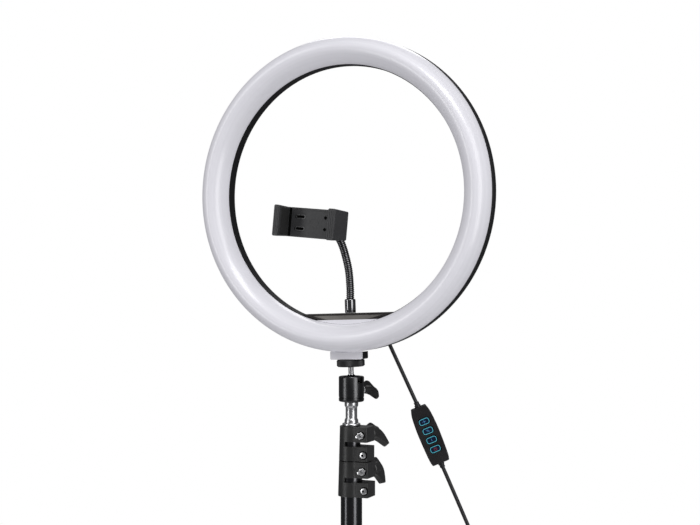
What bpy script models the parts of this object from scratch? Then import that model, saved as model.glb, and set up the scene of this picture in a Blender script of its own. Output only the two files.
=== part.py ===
"""A ring light 330 mm across on a telescopic tripod stand, as separate pieces that move on their joints.

It is modelled in metres with +Z up, stands on the plane z = 0 and faces -Y. A circular lamp head with a phone
holder on a bendy neck rides on a small ball head, above a three-section mast with two clamp collars and a
folding three-legged base. A power cord with a switch hangs from the back of the lamp and lies coiled on the
floor."""

import math

import bmesh
import bpy
from mathutils import Matrix, Vector

MM = 0.001
GAP = 0.3 * MM  # between pieces that touch

# Lamp head. Radii are from the ring's centre, and depths run back from the seam between its two shells.
RING_R = 165.0 * MM
RING_INNER_R = 136.2 * MM
RING_CREST_R = 152.0 * MM
DIFFUSER_BULGE = 18.5 * MM
DIFFUSER_ROUNDNESS = 1.85  # exponent of the diffuser's rounded section
DIFFUSER_WALL = 1.6 * MM
DIFFUSER_LIP_DEPTH = 2.0 * MM
SHELL_DEPTH = 15.9 * MM
SHELL_WALL = 1.6 * MM
SHELL_INNER_R = 135.5 * MM
RING_SIDES = 48

# Heights above the floor, and the small lean of the head on its ball.
RING_HEIGHT = 957.0 * MM
HEAD_ROLL = math.radians(-2.3)
BALL_BELOW_RING = 195.8 * MM
BALL_BEHIND_SEAM = 8.0 * MM

# Foot under the ring, and the lock disc on the ball's screw. Heights are from the ring's centre.
FOOT_WIDTH = 36.0 * MM
FOOT_FRONT_DEPTH = 4.0 * MM
FOOT_REAR_DEPTH = 13.0 * MM
FOOT_BOTTOM = -172.7 * MM
DISC_R = 14.7 * MM
DISC_TOP, DISC_BOTTOM = -173.1 * MM, -180.6 * MM

# Ball head. Heights are from the ball's centre.
BALL_R = 7.4 * MM
STEM_R = 3.05 * MM
HOUSING_R = 13.3 * MM
HOUSING_TOP, HOUSING_BOTTOM = 5.0 * MM, -21.3 * MM
HOUSING_WALL = 2.8 * MM
HOUSING_MOUTH = 8.6 * MM  # flared above its lip, so that the stem can lean
BALL_KNOB_AZIMUTH = math.radians(60.0)
BALL_KNOB_DROP = 10.2 * MM

# Mast tubes: outer radius and bore. Each section slides in the next.
TOP_TUBE_R, TOP_TUBE_BORE = 8.0 * MM, 6.9 * MM
MID_TUBE_R, MID_TUBE_BORE = 9.5 * MM, 8.4 * MM
OUTER_TUBE_R, OUTER_TUBE_BORE = 11.25 * MM, 9.9 * MM
TUBE_LENGTH = 540.0 * MM
OUTER_TUBE_BOTTOM = 60.0 * MM
TUBE_SIDES = 24

# Clamp collars. Heights are from the ball's centre.
COLLAR_RADII = (13.0 * MM, 14.0 * MM)
COLLAR_DRAFT = 0.07  # the round side is this much narrower at its top than at its bottom
COLLAR_BLOCK_X = (22.1 * MM, 23.0 * MM)
COLLAR_BLOCK_Y = 10.7 * MM
COLLAR_TOPS = (-47.0 * MM, -83.3 * MM)
COLLAR_HEIGHTS = (35.8 * MM, 36.6 * MM)
COLLAR_SLOT_DROPS = (15.5 * MM, 16.5 * MM)
COLLAR_SLOT = 4.9 * MM
SLOT_START_X = -2.0 * MM
PINCH_X = (15.6 * MM, 17.4 * MM)
FIXING_X = (18.3 * MM, 19.3 * MM)
PINCH_DROPS = (8.5 * MM, 9.4 * MM)
FIXING_DROPS = (28.7 * MM, 29.4 * MM)
BOLT_R = 1.9 * MM
PINCH_SCREW = 29.5 * MM  # from the knob through the block and the nut, with its end standing proud

# Wing knobs: the hub is turned about its screw, and a long and a short wing sweep out from it.
HUB_R = 6.6 * MM
HUB_LENGTH = 17.0 * MM
WING_THICKNESS = 5.5 * MM
BALL_KNOB_SIZE, BALL_KNOB_SHORT_WING = 0.62, 1.6

# Folding base, from its fold geometry: legs and struts make equal-sided triangles with the mast.
LEG_LENGTH = 500.0 * MM
STRUT_LENGTH = 200.0 * MM
LEG_ANGLE = math.radians(52.0)  # from the vertical when open
LEG_AZIMUTHS = [math.radians(a) for a in (90.0, 210.0, 330.0)]
LEG_PIVOT_R = 27.0 * MM
FOOT_RISE = 12.0 * MM  # height of a leg's end above the floor
LEG_WIDTH, LEG_DEEP, LEG_WALL = 13.0 * MM, 10.6 * MM, 1.2 * MM
STRUT_WIDTH, STRUT_THICK = 9.4 * MM, 3.4 * MM
RIVET_R = 1.7 * MM
RUBBER_R, RUBBER_LENGTH = 9.0 * MM, 34.0 * MM

LEG_REACH = LEG_PIVOT_R + LEG_LENGTH * math.sin(LEG_ANGLE)
LEG_PIVOT_Z = FOOT_RISE + LEG_LENGTH * math.cos(LEG_ANGLE)
STRUT_PIVOT_Z = LEG_PIVOT_Z - 2.0 * STRUT_LENGTH * math.cos(LEG_ANGLE)
MAST_Y = -0.25 * LEG_REACH - 1.26 * MM  # puts the middle of the footprint over the origin

# Bendy neck, from the ring's centre: the middle of each joint along it, and the ball at its end.
NECK_R = 3.9 * MM
NECK_POINTS = [
    Vector((6.8, 7.5, -111.0)) * MM,
    Vector((6.6, 7.6, -98.0)) * MM,
    Vector((3.4, 9.0, -79.3)) * MM,
    Vector((-2.6, 10.6, -62.0)) * MM,
    Vector((-8.0, 11.8, -50.2)) * MM,
    Vector((-14.2, 13.2, -41.2)) * MM,
    Vector((-20.0, 13.0, -35.4)) * MM,
    Vector((-23.3, 9.4, -32.4)) * MM,
]
NECK_SPLITS = (0, 2, 4, 7)  # which of the points are ends of segments
NECK_JOINT_PAUSE = 1.2 * MM  # each segment stops this far short of the joint
STUD_AT = Vector((-24.7, 1.6, -31.0)) * MM
STUD_R, STUD_SHANK_R = 4.2 * MM, 2.0 * MM
FERRULE_R, FERRULE_BORE, FERRULE_HEIGHT = 5.7 * MM, 4.3 * MM, 14.5 * MM
FERRULE_X, FERRULE_Y = 2.1 * MM, 7.5 * MM
BAR_TOP = -124.6 * MM
BAR_FRONT, BAR_BACK = 2.6 * MM, 12.4 * MM

# Phone holder, in its own frame: x along its length, y back, z up, from the middle of its plate.
HOLDER_AT = Vector((-24.7, -3.0, -31.0)) * MM  # middle of the plate's rear face, from the ring's centre
HOLDER_ROLL, HOLDER_PITCH = math.radians(4.8), math.radians(-1.5)
FIXED_JAW = (-37.4 * MM, -29.8 * MM)
SLIDING_JAW = (24.9 * MM, 33.3 * MM)
PLATE_END = 24.6 * MM
PLATE_HALF_HEIGHT = 15.5 * MM
JAW_HALF_HEIGHTS = (16.3 * MM, 15.2 * MM)  # at its front and at its back
HOLDER_PLATE = 10.0 * MM
HOLDER_DEPTH = 33.0 * MM
RAIL_HALF_Z, RAIL_HALF_Y = 10.0 * MM, 1.9 * MM

# Power cord. Points are from the mast's foot, and its coil lies on the floor between two legs.
CORD_R = 2.0 * MM
CORD_LIFT = 0.4 * MM
GLAND_TIP = Vector((32.5, 15.6, 808.4)) * MM
CONTROLLER_TOP = Vector((62.2, 26.7, 739.4)) * MM
CONTROLLER_END = Vector((87.2, 40.1, 670.7)) * MM
KEY_START, KEY_PITCH = 15.7 * MM, 10.3 * MM  # along the controller, from its middle
KEY_HALF_X, KEY_HALF_Y = 5.6 * MM, 3.4 * MM
COIL_CENTRE = Vector((326.3, 205.2, 0.0)) * MM
COIL_R, COIL_TUBE_R = 22.5 * MM, 7.4 * MM
CORD_LOWER_POINTS = [
    CONTROLLER_END,
    Vector((91.0, 42.1, 661.0)) * MM,
    Vector((110.5, 52.5, 609.8)) * MM,
    Vector((151.5, 74.4, 500.0)) * MM,
    Vector((187.6, 93.8, 400.0)) * MM,
    Vector((223.3, 112.9, 300.0)) * MM,
    Vector((258.5, 131.8, 200.0)) * MM,
    Vector((293.2, 150.4, 100.0)) * MM,
    Vector((310.6, 159.8, 52.0)) * MM,
    Vector((320.2, 164.9, 24.0)) * MM,
    Vector((328.8, 169.5, 7.6)) * MM,
    Vector((336.0, 173.4, 2.8)) * MM,
    Vector((341.8, 176.5, 2.4)) * MM,
]
PLUG_BODY = Vector((32.0, 12.4, 7.4)) * MM
PLUG_TIP = Vector((18.6, 11.8, 4.4)) * MM
PLUG_AT = Vector((0.0, 33.5, 0.0)) * MM  # where the plug's relief meets the coil, from the coil's middle


# ---------------------------------------------------------------- helpers


def clear_scene():
    for obj in list(bpy.data.objects):
        bpy.data.objects.remove(obj, do_unlink=True)


def material(name, colour, roughness, metallic=0.0):
    mat = bpy.data.materials.new(name)
    mat.use_nodes = True
    shader = mat.node_tree.nodes["Principled BSDF"]
    shader.inputs["Base Color"].default_value = (*colour, 1.0)
    shader.inputs["Roughness"].default_value = roughness
    shader.inputs["Metallic"].default_value = metallic
    return mat


def empty(name, parent=None, at=(0.0, 0.0, 0.0), turn=(0.0, 0.0, 0.0)):
    obj = bpy.data.objects.new(name, None)
    bpy.context.scene.collection.objects.link(obj)
    obj.parent, obj.location, obj.rotation_euler = parent, at, turn
    return obj


def solid(name, bm, mat, parent=None, at=(0.0, 0.0, 0.0), turn=(0.0, 0.0, 0.0)):
    """An object from a closed bmesh, shaded smooth between its sharp edges."""
    bmesh.ops.remove_doubles(bm, verts=bm.verts, dist=1e-6)
    bmesh.ops.recalc_face_normals(bm, faces=bm.faces)
    mesh = bpy.data.meshes.new(name)
    bm.to_mesh(mesh)
    bm.free()
    mesh.shade_smooth()
    mesh.set_sharp_from_angle(angle=math.radians(35.0))
    mesh.materials.append(mat)
    obj = bpy.data.objects.new(name, mesh)
    bpy.context.scene.collection.objects.link(obj)
    obj.parent, obj.location, obj.rotation_euler = parent, at, turn
    return obj


def turned(profile, sides, closed=False):
    """Revolves (radius, height) points about Z. An open profile starts and ends on the axis."""
    bm = bmesh.new()
    rings = []
    for radius, height in profile:
        if radius < 1e-9:
            rings.append([bm.verts.new((0.0, 0.0, height))])
            continue
        angles = [2.0 * math.pi * i / sides for i in range(sides)]
        rings.append([bm.verts.new((radius * math.cos(a), radius * math.sin(a), height)) for a in angles])
    pairs = list(zip(rings, rings[1:]))
    if closed:
        pairs.append((rings[-1], rings[0]))
    for low, high in pairs:
        for i in range(sides):
            j = (i + 1) % sides
            corners = [low[i % len(low)], low[j % len(low)], high[j % len(high)], high[i % len(high)]]
            unique = [v for k, v in enumerate(corners) if v not in corners[:k]]
            bm.faces.new(unique)
    return bm


def prism(outline, low, high):
    """Extrudes an (x, y) outline from z = low to z = high."""
    bm = bmesh.new()
    face = bm.faces.new([bm.verts.new((x, y, low)) for x, y in outline])
    raised = bmesh.ops.extrude_face_region(bm, geom=[face])["geom"]
    moved = [v for v in raised if isinstance(v, bmesh.types.BMVert)]
    bmesh.ops.translate(bm, verts=moved, vec=(0.0, 0.0, high - low))
    return bm


def block(low, high):
    bm = bmesh.new()
    bmesh.ops.create_cube(bm, size=1.0)
    for v in bm.verts:
        v.co = Vector([a + (b - a) * (c + 0.5) for a, b, c in zip(low, high, v.co)])
    return bm


def rounded(bm, width, segments=2, edges=None):
    bmesh.ops.bevel(
        bm,
        geom=list(edges or bm.edges),
        offset=width,
        segments=segments,
        affect="EDGES",
        profile=0.5,
        clamp_overlap=True,
    )
    return bm


def rod(start, end, radius, sides=12):
    """A cylinder between two points."""
    start, end = Vector(start), Vector(end)
    bm = turned([(0, 0), (radius, 0), (radius, (end - start).length), (0, (end - start).length)], sides)
    way = (end - start).to_track_quat("Z", "Y").to_matrix().to_4x4()
    bmesh.ops.transform(bm, matrix=Matrix.Translation(start) @ way, verts=bm.verts)
    return bm


def arc(radius, start, end, count, centre=(0.0, 0.0)):
    steps = [start + (end - start) * i / (count - 1) for i in range(count)]
    return [(centre[0] + radius * math.cos(a), centre[1] + radius * math.sin(a)) for a in steps]


def joined(target, operation, bm, turn=None):
    """Applies a Boolean between an object and a hidden helper in the same frame."""
    helper = solid(f"{target.name}_{operation.lower()}_{len(target.modifiers)}", bm, target.data.materials[0])
    helper.parent, helper.location = target.parent, target.location
    helper.rotation_euler = turn or target.rotation_euler
    helper.hide_render = True
    helper.display_type = "WIRE"
    modifier = target.modifiers.new(operation.title(), "BOOLEAN")
    modifier.operation, modifier.object, modifier.solver = operation, helper, "EXACT"
    return helper


def smooth_route(points, spacing):
    """Points a set distance apart on a smooth curve through the given ones (Catmull-Rom)."""
    ends = [points[0] * 2 - points[1], *points, points[-1] * 2 - points[-2]]
    fine = []
    for a, b, c, d in zip(ends, ends[1:], ends[2:], ends[3:]):
        for i in range(40):
            t = i / 40.0
            fine.append(
                0.5 * (2 * b + (c - a) * t + (2 * a - 5 * b + 4 * c - d) * t * t + (3 * b - a - 3 * c + d) * t**3)
            )
    fine.append(points[-1])
    travelled = [0.0]
    for p, q in zip(fine, fine[1:]):
        travelled.append(travelled[-1] + (q - p).length)
    count = max(2, round(travelled[-1] / spacing))
    route, k = [], 0
    for i in range(count + 1):
        want = travelled[-1] * i / count
        while k < len(fine) - 2 and travelled[k + 1] < want:
            k += 1
        span = max(travelled[k + 1] - travelled[k], 1e-9)
        route.append(fine[k].lerp(fine[k + 1], min(1.0, (want - travelled[k]) / span)))
    return route


def tube(name, route, radius, mat, parent=None):
    """A round solid along a route, as a curve with a bevel and filled caps."""
    curve = bpy.data.curves.new(name, "CURVE")
    curve.dimensions = "3D"
    curve.bevel_depth, curve.bevel_resolution, curve.use_fill_caps = radius, 2, True
    spline = curve.splines.new("POLY")
    spline.points.add(len(route) - 1)
    for point, place in zip(spline.points, route):
        point.co = (*place, 1.0)
    curve.materials.append(mat)
    obj = bpy.data.objects.new(name, curve)
    bpy.context.scene.collection.objects.link(obj)
    obj.parent = parent
    return obj


def swept(route, radius, sides):
    """A round bar along a route, as a mesh with flat ends."""
    bm = bmesh.new()
    rings = []
    side = Vector((0.0, 1.0, 0.0))
    for k, place in enumerate(route):
        along = (route[min(k + 1, len(route) - 1)] - route[max(k - 1, 0)]).normalized()
        side = (side - along * side.dot(along)).normalized()
        other = along.cross(side)
        angles = [2.0 * math.pi * i / sides for i in range(sides)]
        rings.append([bm.verts.new(place + (side * math.cos(a) + other * math.sin(a)) * radius) for a in angles])
    for low, high in zip(rings, rings[1:]):
        for i in range(sides):
            j = (i + 1) % sides
            bm.faces.new((low[i], low[j], high[j], high[i]))
    bm.faces.new(rings[0][::-1])
    bm.faces.new(rings[-1])
    return bm


# ---------------------------------------------------------------- lamp head


def rounded_section(outer, crest, inner, lip, bulge, steps):
    """The diffuser's section from its outer edge over the crest to its inner lip, as (radius, depth)."""
    power = 2.0 / DIFFUSER_ROUNDNESS
    points = []
    for i in range(steps + 1):
        a = 0.5 * math.pi * i / steps
        points.append((crest + (outer - crest) * math.cos(a) ** power, -bulge * math.sin(a) ** power))
    for i in range(1, steps + 1):
        a = 0.5 * math.pi * (1.0 - i / steps)
        across = math.cos(a) ** power
        points.append((crest - (crest - inner) * across, lip - (lip + bulge) * math.sin(a) ** power))
    return points


def make_diffuser(ring, mat):
    outside = rounded_section(RING_R, RING_CREST_R, RING_INNER_R, DIFFUSER_LIP_DEPTH, DIFFUSER_BULGE, 6)
    inside = rounded_section(
        RING_R - DIFFUSER_WALL,
        RING_CREST_R,
        RING_INNER_R + DIFFUSER_WALL,
        DIFFUSER_LIP_DEPTH,
        DIFFUSER_BULGE - DIFFUSER_WALL,
        5,
    )
    return solid("diffuser", turned(outside + inside[::-1], RING_SIDES, closed=True), mat, ring)


def make_back_shell(ring, mat):
    corner = 3.0 * MM
    front_outer, front_inner = GAP, DIFFUSER_LIP_DEPTH + GAP
    outside = [(RING_R, front_outer), (RING_R, SHELL_DEPTH - corner)]
    outside += [(RING_R - 0.3 * corner, SHELL_DEPTH - 0.3 * corner), (RING_R - corner, SHELL_DEPTH)]
    outside += [(SHELL_INNER_R + corner, SHELL_DEPTH), (SHELL_INNER_R + 0.3 * corner, SHELL_DEPTH - 0.3 * corner)]
    outside += [(SHELL_INNER_R, SHELL_DEPTH - corner), (SHELL_INNER_R, front_inner)]
    floor = SHELL_DEPTH - SHELL_WALL
    inside = [(SHELL_INNER_R + SHELL_WALL, front_inner), (SHELL_INNER_R + SHELL_WALL, floor)]
    inside += [(RING_R - SHELL_WALL, floor), (RING_R - SHELL_WALL, front_outer)]
    return solid("back_shell", turned(outside + inside, RING_SIDES, closed=True), mat, ring)


def make_led_board(ring, mat):
    """A flat circuit ring with a row of square lamps standing on it."""
    low, high = SHELL_DEPTH - SHELL_WALL - 2.0 * MM, SHELL_DEPTH - SHELL_WALL - GAP
    radii = [140.0 * MM, 148.5 * MM, 151.5 * MM, 160.0 * MM]
    profile = [(radii[3], high), (radii[0], high)] + [(r, low) for r in radii]
    bm = turned(profile, RING_SIDES, closed=True)
    bm.normal_update()
    bm.faces.ensure_lookup_table()
    middle = (radii[1] + radii[2]) / 2
    lamps = [
        f
        for f in bm.faces
        if abs(f.calc_center_median().xy.length - middle) < 0.5 * MM and f.calc_center_median().z < (low + high) / 2
    ]
    lamps.sort(key=lambda f: math.atan2(*f.calc_center_median().xy))
    for face in lamps[::2]:
        grown = bmesh.ops.extrude_discrete_faces(bm, faces=[face])["faces"][0]
        bmesh.ops.translate(bm, verts=grown.verts, vec=(0.0, 0.0, -1.2 * MM))
    return solid("led_board", bm, mat, ring)


def make_foot(head, white, black, brass):
    half = FOOT_WIDTH / 2
    top = -(RING_R + 0.9 * MM)
    front = prism(arc_foot(half, top), -FOOT_FRONT_DEPTH, -GAP)
    lay_back(front)
    solid("foot_front", front, white, head)
    rear = prism(arc_foot(half, top), GAP, FOOT_REAR_DEPTH)
    lay_back(rear)
    foot = solid("foot_rear", rear, black, head)
    insert_r, bore_r = 4.4 * MM, STEM_R + GAP
    y = BALL_BEHIND_SEAM
    joined(foot, "DIFFERENCE", rod((0, y, FOOT_BOTTOM - MM), (0, y, top + 4 * MM), insert_r + GAP))
    profile = [(insert_r, FOOT_BOTTOM), (insert_r, top - MM), (bore_r, top - MM), (bore_r, FOOT_BOTTOM)]
    solid("thread_insert", turned(profile, 16, closed=True), brass, head, at=(0, y, 0))


def arc_foot(half, top):
    """The foot's front outline: hollowed above to sit on the ring, with two lower rounded corners."""
    radius = -top
    reach = math.asin(half / radius)
    hollow = arc(radius, -math.pi / 2 + reach, -math.pi / 2 - reach, 9)
    corner = 1.5 * MM
    low = FOOT_BOTTOM
    return hollow + [(-half, low + corner), (-half + corner, low), (half - corner, low), (half, low + corner)]


def lay_back(bm):
    """Turns a shape drawn in x and z, and extruded along its third axis, so that it is extruded along +Y."""
    bmesh.ops.transform(bm, matrix=Matrix(((1, 0, 0), (0, 0, 1), (0, 1, 0))).to_4x4(), verts=bm.verts)


def make_cross_bar(head, mat):
    """A chord plate across the bottom of the ring's opening, which carries the neck."""
    radius = SHELL_INNER_R - GAP
    reach = math.acos(-BAR_TOP / radius)
    outline = arc(radius, -math.pi / 2 - reach, -math.pi / 2 + reach, 13)
    bm = prism(outline, BAR_FRONT, BAR_BACK)
    lay_back(bm)
    bar = solid("cross_bar", bm, mat, head)
    hole = rod((FERRULE_X, FERRULE_Y, BAR_TOP - 5 * MM), (FERRULE_X, FERRULE_Y, BAR_TOP + 5 * MM), 3.0 * MM)
    joined(bar, "DIFFERENCE", hole)
    return bar


def in_head(place):
    """A place given from the mast's foot, in the leaning head's own frame."""
    middle = Vector((BALL_BELOW_RING * math.sin(HEAD_ROLL), -BALL_BEHIND_SEAM, RING_HEIGHT))
    return Matrix.Rotation(-HEAD_ROLL, 3, "Y") @ (place - middle)


def make_gland(head, mat):
    """The cord's way out of the back shell: a small block with a tapered boot along the cord."""
    tip = in_head(GLAND_TIP)
    along = (in_head(CONTROLLER_TOP) - tip).normalized()
    root = tip - along * 17 * MM
    back = SHELL_DEPTH + GAP
    bm = block((root.x - 8 * MM, back, root.z - 6 * MM), (root.x + 8 * MM, back + 7.5 * MM, root.z + 8 * MM))
    gland = solid("cable_gland", rounded(bm, 1.6 * MM, 1), mat, head)
    boot = turned([(0, 0), (3.6 * MM, 0), (3.6 * MM, 4 * MM), (3.0 * MM, 17 * MM), (0, 17 * MM)], 12)
    way = along.to_track_quat("Z", "Y").to_matrix().to_4x4()
    bmesh.ops.transform(boot, matrix=Matrix.Translation(root) @ way, verts=boot.verts)
    joined(gland, "UNION", boot)


def make_shell_screws(head, mat):
    for number, angle in enumerate((math.radians(a) for a in (45.0, 135.0, 225.0)), 1):
        middle = (RING_R + SHELL_INNER_R) / 2
        place = Vector((middle * math.cos(angle), SHELL_DEPTH + GAP, middle * math.sin(angle)))
        profile = [(0, 0), (3.0 * MM, 0), (2.6 * MM, 0.9 * MM), (1.3 * MM, 1.5 * MM)]
        profile += [(1.0 * MM, 0.7 * MM), (0, 0.7 * MM)]
        solid(f"shell_screw_{number}", turned(profile, 12), mat, head, place, (-math.pi / 2, 0, 0))


# ---------------------------------------------------------------- neck and phone holder


def make_neck(ring_middle, mat, steel):
    """The bendy neck's segments, from the ferrule's top to the ball in the holder's socket."""
    base = empty("neck_base", ring_middle)
    spread = smooth_route(NECK_POINTS, 4.0 * MM)
    cuts = [min(range(len(spread)), key=lambda k: (spread[k] - NECK_POINTS[n]).length) for n in NECK_SPLITS]
    for number, (a, b) in enumerate(zip(cuts, cuts[1:]), 1):
        run = spread[a : b + 1]
        if number > 1:
            run[0] = run[0] + (run[1] - run[0]).normalized() * NECK_JOINT_PAUSE
        if b < cuts[-1]:
            run[-1] = run[-1] - (run[-1] - run[-2]).normalized() * NECK_JOINT_PAUSE
        solid(f"neck_{number}", swept(run, NECK_R, 12), mat, base)
    ball = bmesh.new()
    bmesh.ops.create_uvsphere(ball, u_segments=16, v_segments=10, radius=STUD_R)
    bmesh.ops.translate(ball, verts=ball.verts, vec=STUD_AT)
    stud = solid("holder_ball", ball, steel, base)
    back = NECK_POINTS[-1] - STUD_AT
    shank = back.normalized() * (back.length - STUD_SHANK_R)
    joined(stud, "UNION", rod(STUD_AT, STUD_AT + shank, STUD_SHANK_R))


def make_ferrule(head, mat):
    edge = 0.6 * MM
    profile = [(FERRULE_BORE, 0), (FERRULE_R, 0), (FERRULE_R, FERRULE_HEIGHT - edge)]
    profile += [(FERRULE_R - edge, FERRULE_HEIGHT), (FERRULE_BORE, FERRULE_HEIGHT)]
    solid("neck_ferrule", turned(profile, 20, closed=True), mat, head, (FERRULE_X, FERRULE_Y, BAR_TOP + GAP))


def jaw_block(start, end):
    """A jaw: as deep as the holder, and a little taller at its front than at its back."""
    front, back = JAW_HALF_HEIGHTS
    bm = block((start, -HOLDER_DEPTH, -1.0), (end, 0.0, 1.0))
    for v in bm.verts:
        v.co.z *= front if v.co.y < -HOLDER_DEPTH / 2 else back
    return rounded(bm, 0.8 * MM, 1)


def make_holder(ring_middle, black, steel):
    frame = empty("holder_frame", ring_middle, HOLDER_AT, (HOLDER_PITCH, HOLDER_ROLL, 0.0))
    tall, plate = PLATE_HALF_HEIGHT, HOLDER_PLATE
    body = solid("clamp_body", jaw_block(*FIXED_JAW), black, frame)
    joined(body, "UNION", block((FIXED_JAW[1] - 2 * MM, -plate, -tall), (PLATE_END, -0.4 * MM, tall)))
    groove = block((FIXED_JAW[1], -plate - MM, -tall - 2 * MM), (FIXED_JAW[1] + 3.2 * MM, -plate + 2 * MM, tall + 2 * MM))
    joined(body, "DIFFERENCE", groove)
    channel = block(
        (-28.0 * MM, -plate / 2 - RAIL_HALF_Y - GAP, -RAIL_HALF_Z - GAP),
        (PLATE_END + MM, -plate / 2 + RAIL_HALF_Y + GAP, RAIL_HALF_Z + GAP),
    )
    joined(body, "DIFFERENCE", channel)
    jaw = solid("sliding_jaw", jaw_block(*SLIDING_JAW), black, frame)
    tongue = block(
        (-7.0 * MM, -plate / 2 - RAIL_HALF_Y, -RAIL_HALF_Z),
        (SLIDING_JAW[0] + 4 * MM, -plate / 2 + RAIL_HALF_Y, RAIL_HALF_Z),
    )
    joined(jaw, "UNION", tongue)
    turns, per_turn, wire, radius = 6, 8, 0.3 * MM, 1.3 * MM
    count = turns * per_turn
    helix = []
    for i in range(count + 1):
        a = 2 * math.pi * i / per_turn
        helix.append(
            Vector((-27.0 * MM + 18.0 * MM * i / count, -plate / 2 + radius * math.cos(a), radius * math.sin(a)))
        )
    solid("clamp_spring", swept(helix, wire, 4), steel, frame)
    profile = [(STUD_R + GAP, 1.0 * MM), (STUD_R + GAP, 6.0 * MM), (6.0 * MM, 6.0 * MM), (7.4 * MM, 4.8 * MM)]
    profile += [(7.4 * MM, 0.3 * MM), (STUD_R + GAP, 0.3 * MM)]
    solid("socket_nut", turned(profile[1:], 16, closed=True), black, frame, turn=(-math.pi / 2, 0, 0))
    return frame


# ---------------------------------------------------------------- ball head


def make_ball_head(ball_centre, head, steel, black, knurled):
    """The ball with its screw leans with the head. The housing stands straight on the mast."""
    screw_top = FOOT_BOTTOM + BALL_BELOW_RING + 4.5 * MM
    profile = [(0.0, -BALL_R)]
    steps = 9
    low, high = -math.pi / 2, math.acos(STEM_R / BALL_R)
    for i in range(1, steps + 1):
        a = low + (high - low) * i / steps
        profile.append((BALL_R * math.cos(a), BALL_R * math.sin(a)))
    profile += [(STEM_R, screw_top), (0.0, screw_top)]
    solid("ball_stud", turned(profile, 16), steel, head)
    lift = BALL_BELOW_RING
    top, bottom, bore = DISC_TOP + lift, DISC_BOTTOM + lift, STEM_R + GAP
    edge = 0.7 * MM
    profile = [(bore, bottom), (DISC_R - edge, bottom), (DISC_R, bottom + edge), (DISC_R, top - edge)]
    profile += [(DISC_R - edge, top), (bore, top)]
    solid("lock_disc", turned(profile, 24, closed=True), knurled, head)
    seat = BALL_R + GAP
    inner = HOUSING_R - HOUSING_WALL
    profile = [(HOUSING_MOUTH, HOUSING_TOP), (HOUSING_R - edge, HOUSING_TOP), (HOUSING_R, HOUSING_TOP - edge)]
    profile += [(HOUSING_R, HOUSING_BOTTOM + MM), (HOUSING_R - MM, HOUSING_BOTTOM), (3.4 * MM, HOUSING_BOTTOM)]
    profile += [(3.4 * MM, -15.5 * MM), (inner, -15.5 * MM), (inner, 0.0)]
    profile += [(seat * math.cos(a), seat * math.sin(a)) for a in (0.17, 0.29, 0.40)]
    housing = solid("ball_housing", turned(profile, 24, closed=True), black, ball_centre)
    along = Vector((math.cos(BALL_KNOB_AZIMUTH), math.sin(BALL_KNOB_AZIMUTH), 0.0))
    drop = Vector((0, 0, -BALL_KNOB_DROP))
    joined(housing, "DIFFERENCE", rod(along * 8 * MM + drop, along * 20 * MM + drop, 2.0 * MM + GAP))
    cup_r, cup_bottom, cup_hole = seat + 0.05 * MM, -15.2 * MM, 3.2 * MM
    profile = [(cup_hole, cup_bottom), (inner - GAP, cup_bottom), (inner - GAP, -1.9 * MM)]
    profile += [(cup_r * math.cos(a), -cup_r * math.sin(a)) for a in (0.25, 0.48, 0.80, 1.14)]
    seat_cup = solid("ball_seat", turned(profile, 20, closed=True), knurled, ball_centre)
    joined(seat_cup, "DIFFERENCE", rod(along * 5.2 * MM + drop, along * 20 * MM + drop, 2.0 * MM + 2 * GAP))


def wing_outline(short_wing):
    """A wing knob's blade seen side on, as (away from the screw, along it) in millimetres. Its long wing is on
    the positive side, and the short wing's reach is multiplied by the factor given."""
    long_side = [(6.2, 0.5), (6.2, 2.0), (10.0, 9.5), (17.4, 16.5), (18.4, 18.0), (18.4, 21.0), (17.5, 22.5)]
    short_side = [(7.0, 26.5), (1.0, 25.0), (-8.5, 17.5), (-10.5, 13.0), (-10.3, 8.0), (-6.5, 3.0), (-6.2, 0.5)]
    return long_side + [(x * short_wing if x < -7.0 else x, y) for x, y in short_side]


def make_knob(name, parent, at, azimuth, tilt, screw, screw_r, mat, size=1.0, short_wing=1.0):
    """A wing knob on a screw. Its axis is level along the azimuth, and tilt turns its wings about it.
    The screw reaches back from the hub by the given length."""
    frame = empty(f"{name}_axis", parent, at, (0.0, math.pi / 2, azimuth))
    outline = [(x * size * MM, y * size * MM) for x, y in wing_outline(short_wing)]
    bm = prism(outline, -WING_THICKNESS * size / 2, WING_THICKNESS * size / 2)
    lay_back(bm)
    knob = solid(name, rounded(bm, 0.9 * MM * size, 1), mat, frame, turn=(0, 0, tilt))
    hub_r, hub_l = HUB_R * size, HUB_LENGTH * size
    profile = [(0, -screw), (screw_r, -screw), (screw_r, 0), (hub_r - MM * size, 0), (hub_r, MM * size)]
    profile += [(hub_r, hub_l - 2 * MM * size), (hub_r - 2 * MM * size, hub_l), (0, hub_l)]
    joined(knob, "UNION", turned(profile, 16))
    return frame


# ---------------------------------------------------------------- mast


def pipe(name, radius, bore, low, high, mat, parent):
    profile = [(radius, low), (radius, high), (bore, high), (bore, low)]
    return solid(name, turned(profile, TUBE_SIDES, closed=True), mat, parent)


def collar_outline(radius, x):
    y, corner = COLLAR_BLOCK_Y, 1.5 * MM
    start = math.asin(y / radius)
    round_back = arc(radius, start, 2 * math.pi - start, 21)
    return round_back + [(x - corner, -y), (x, -y + corner), (x, y - corner), (x - corner, y)]


def draft_round_side(bm, top):
    """Narrows a collar's round side towards its top, and leaves its block as it is."""
    for v in bm.verts:
        if v.co.z > top - 1e-6:
            share = min(1.0, max(0.0, (6 * MM - v.co.x) / (12 * MM)))
            v.co.xy *= 1.0 - COLLAR_DRAFT * share
    bmesh.ops.triangulate(bm, faces=[f for f in bm.faces if len(f.verts) == 4])


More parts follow.
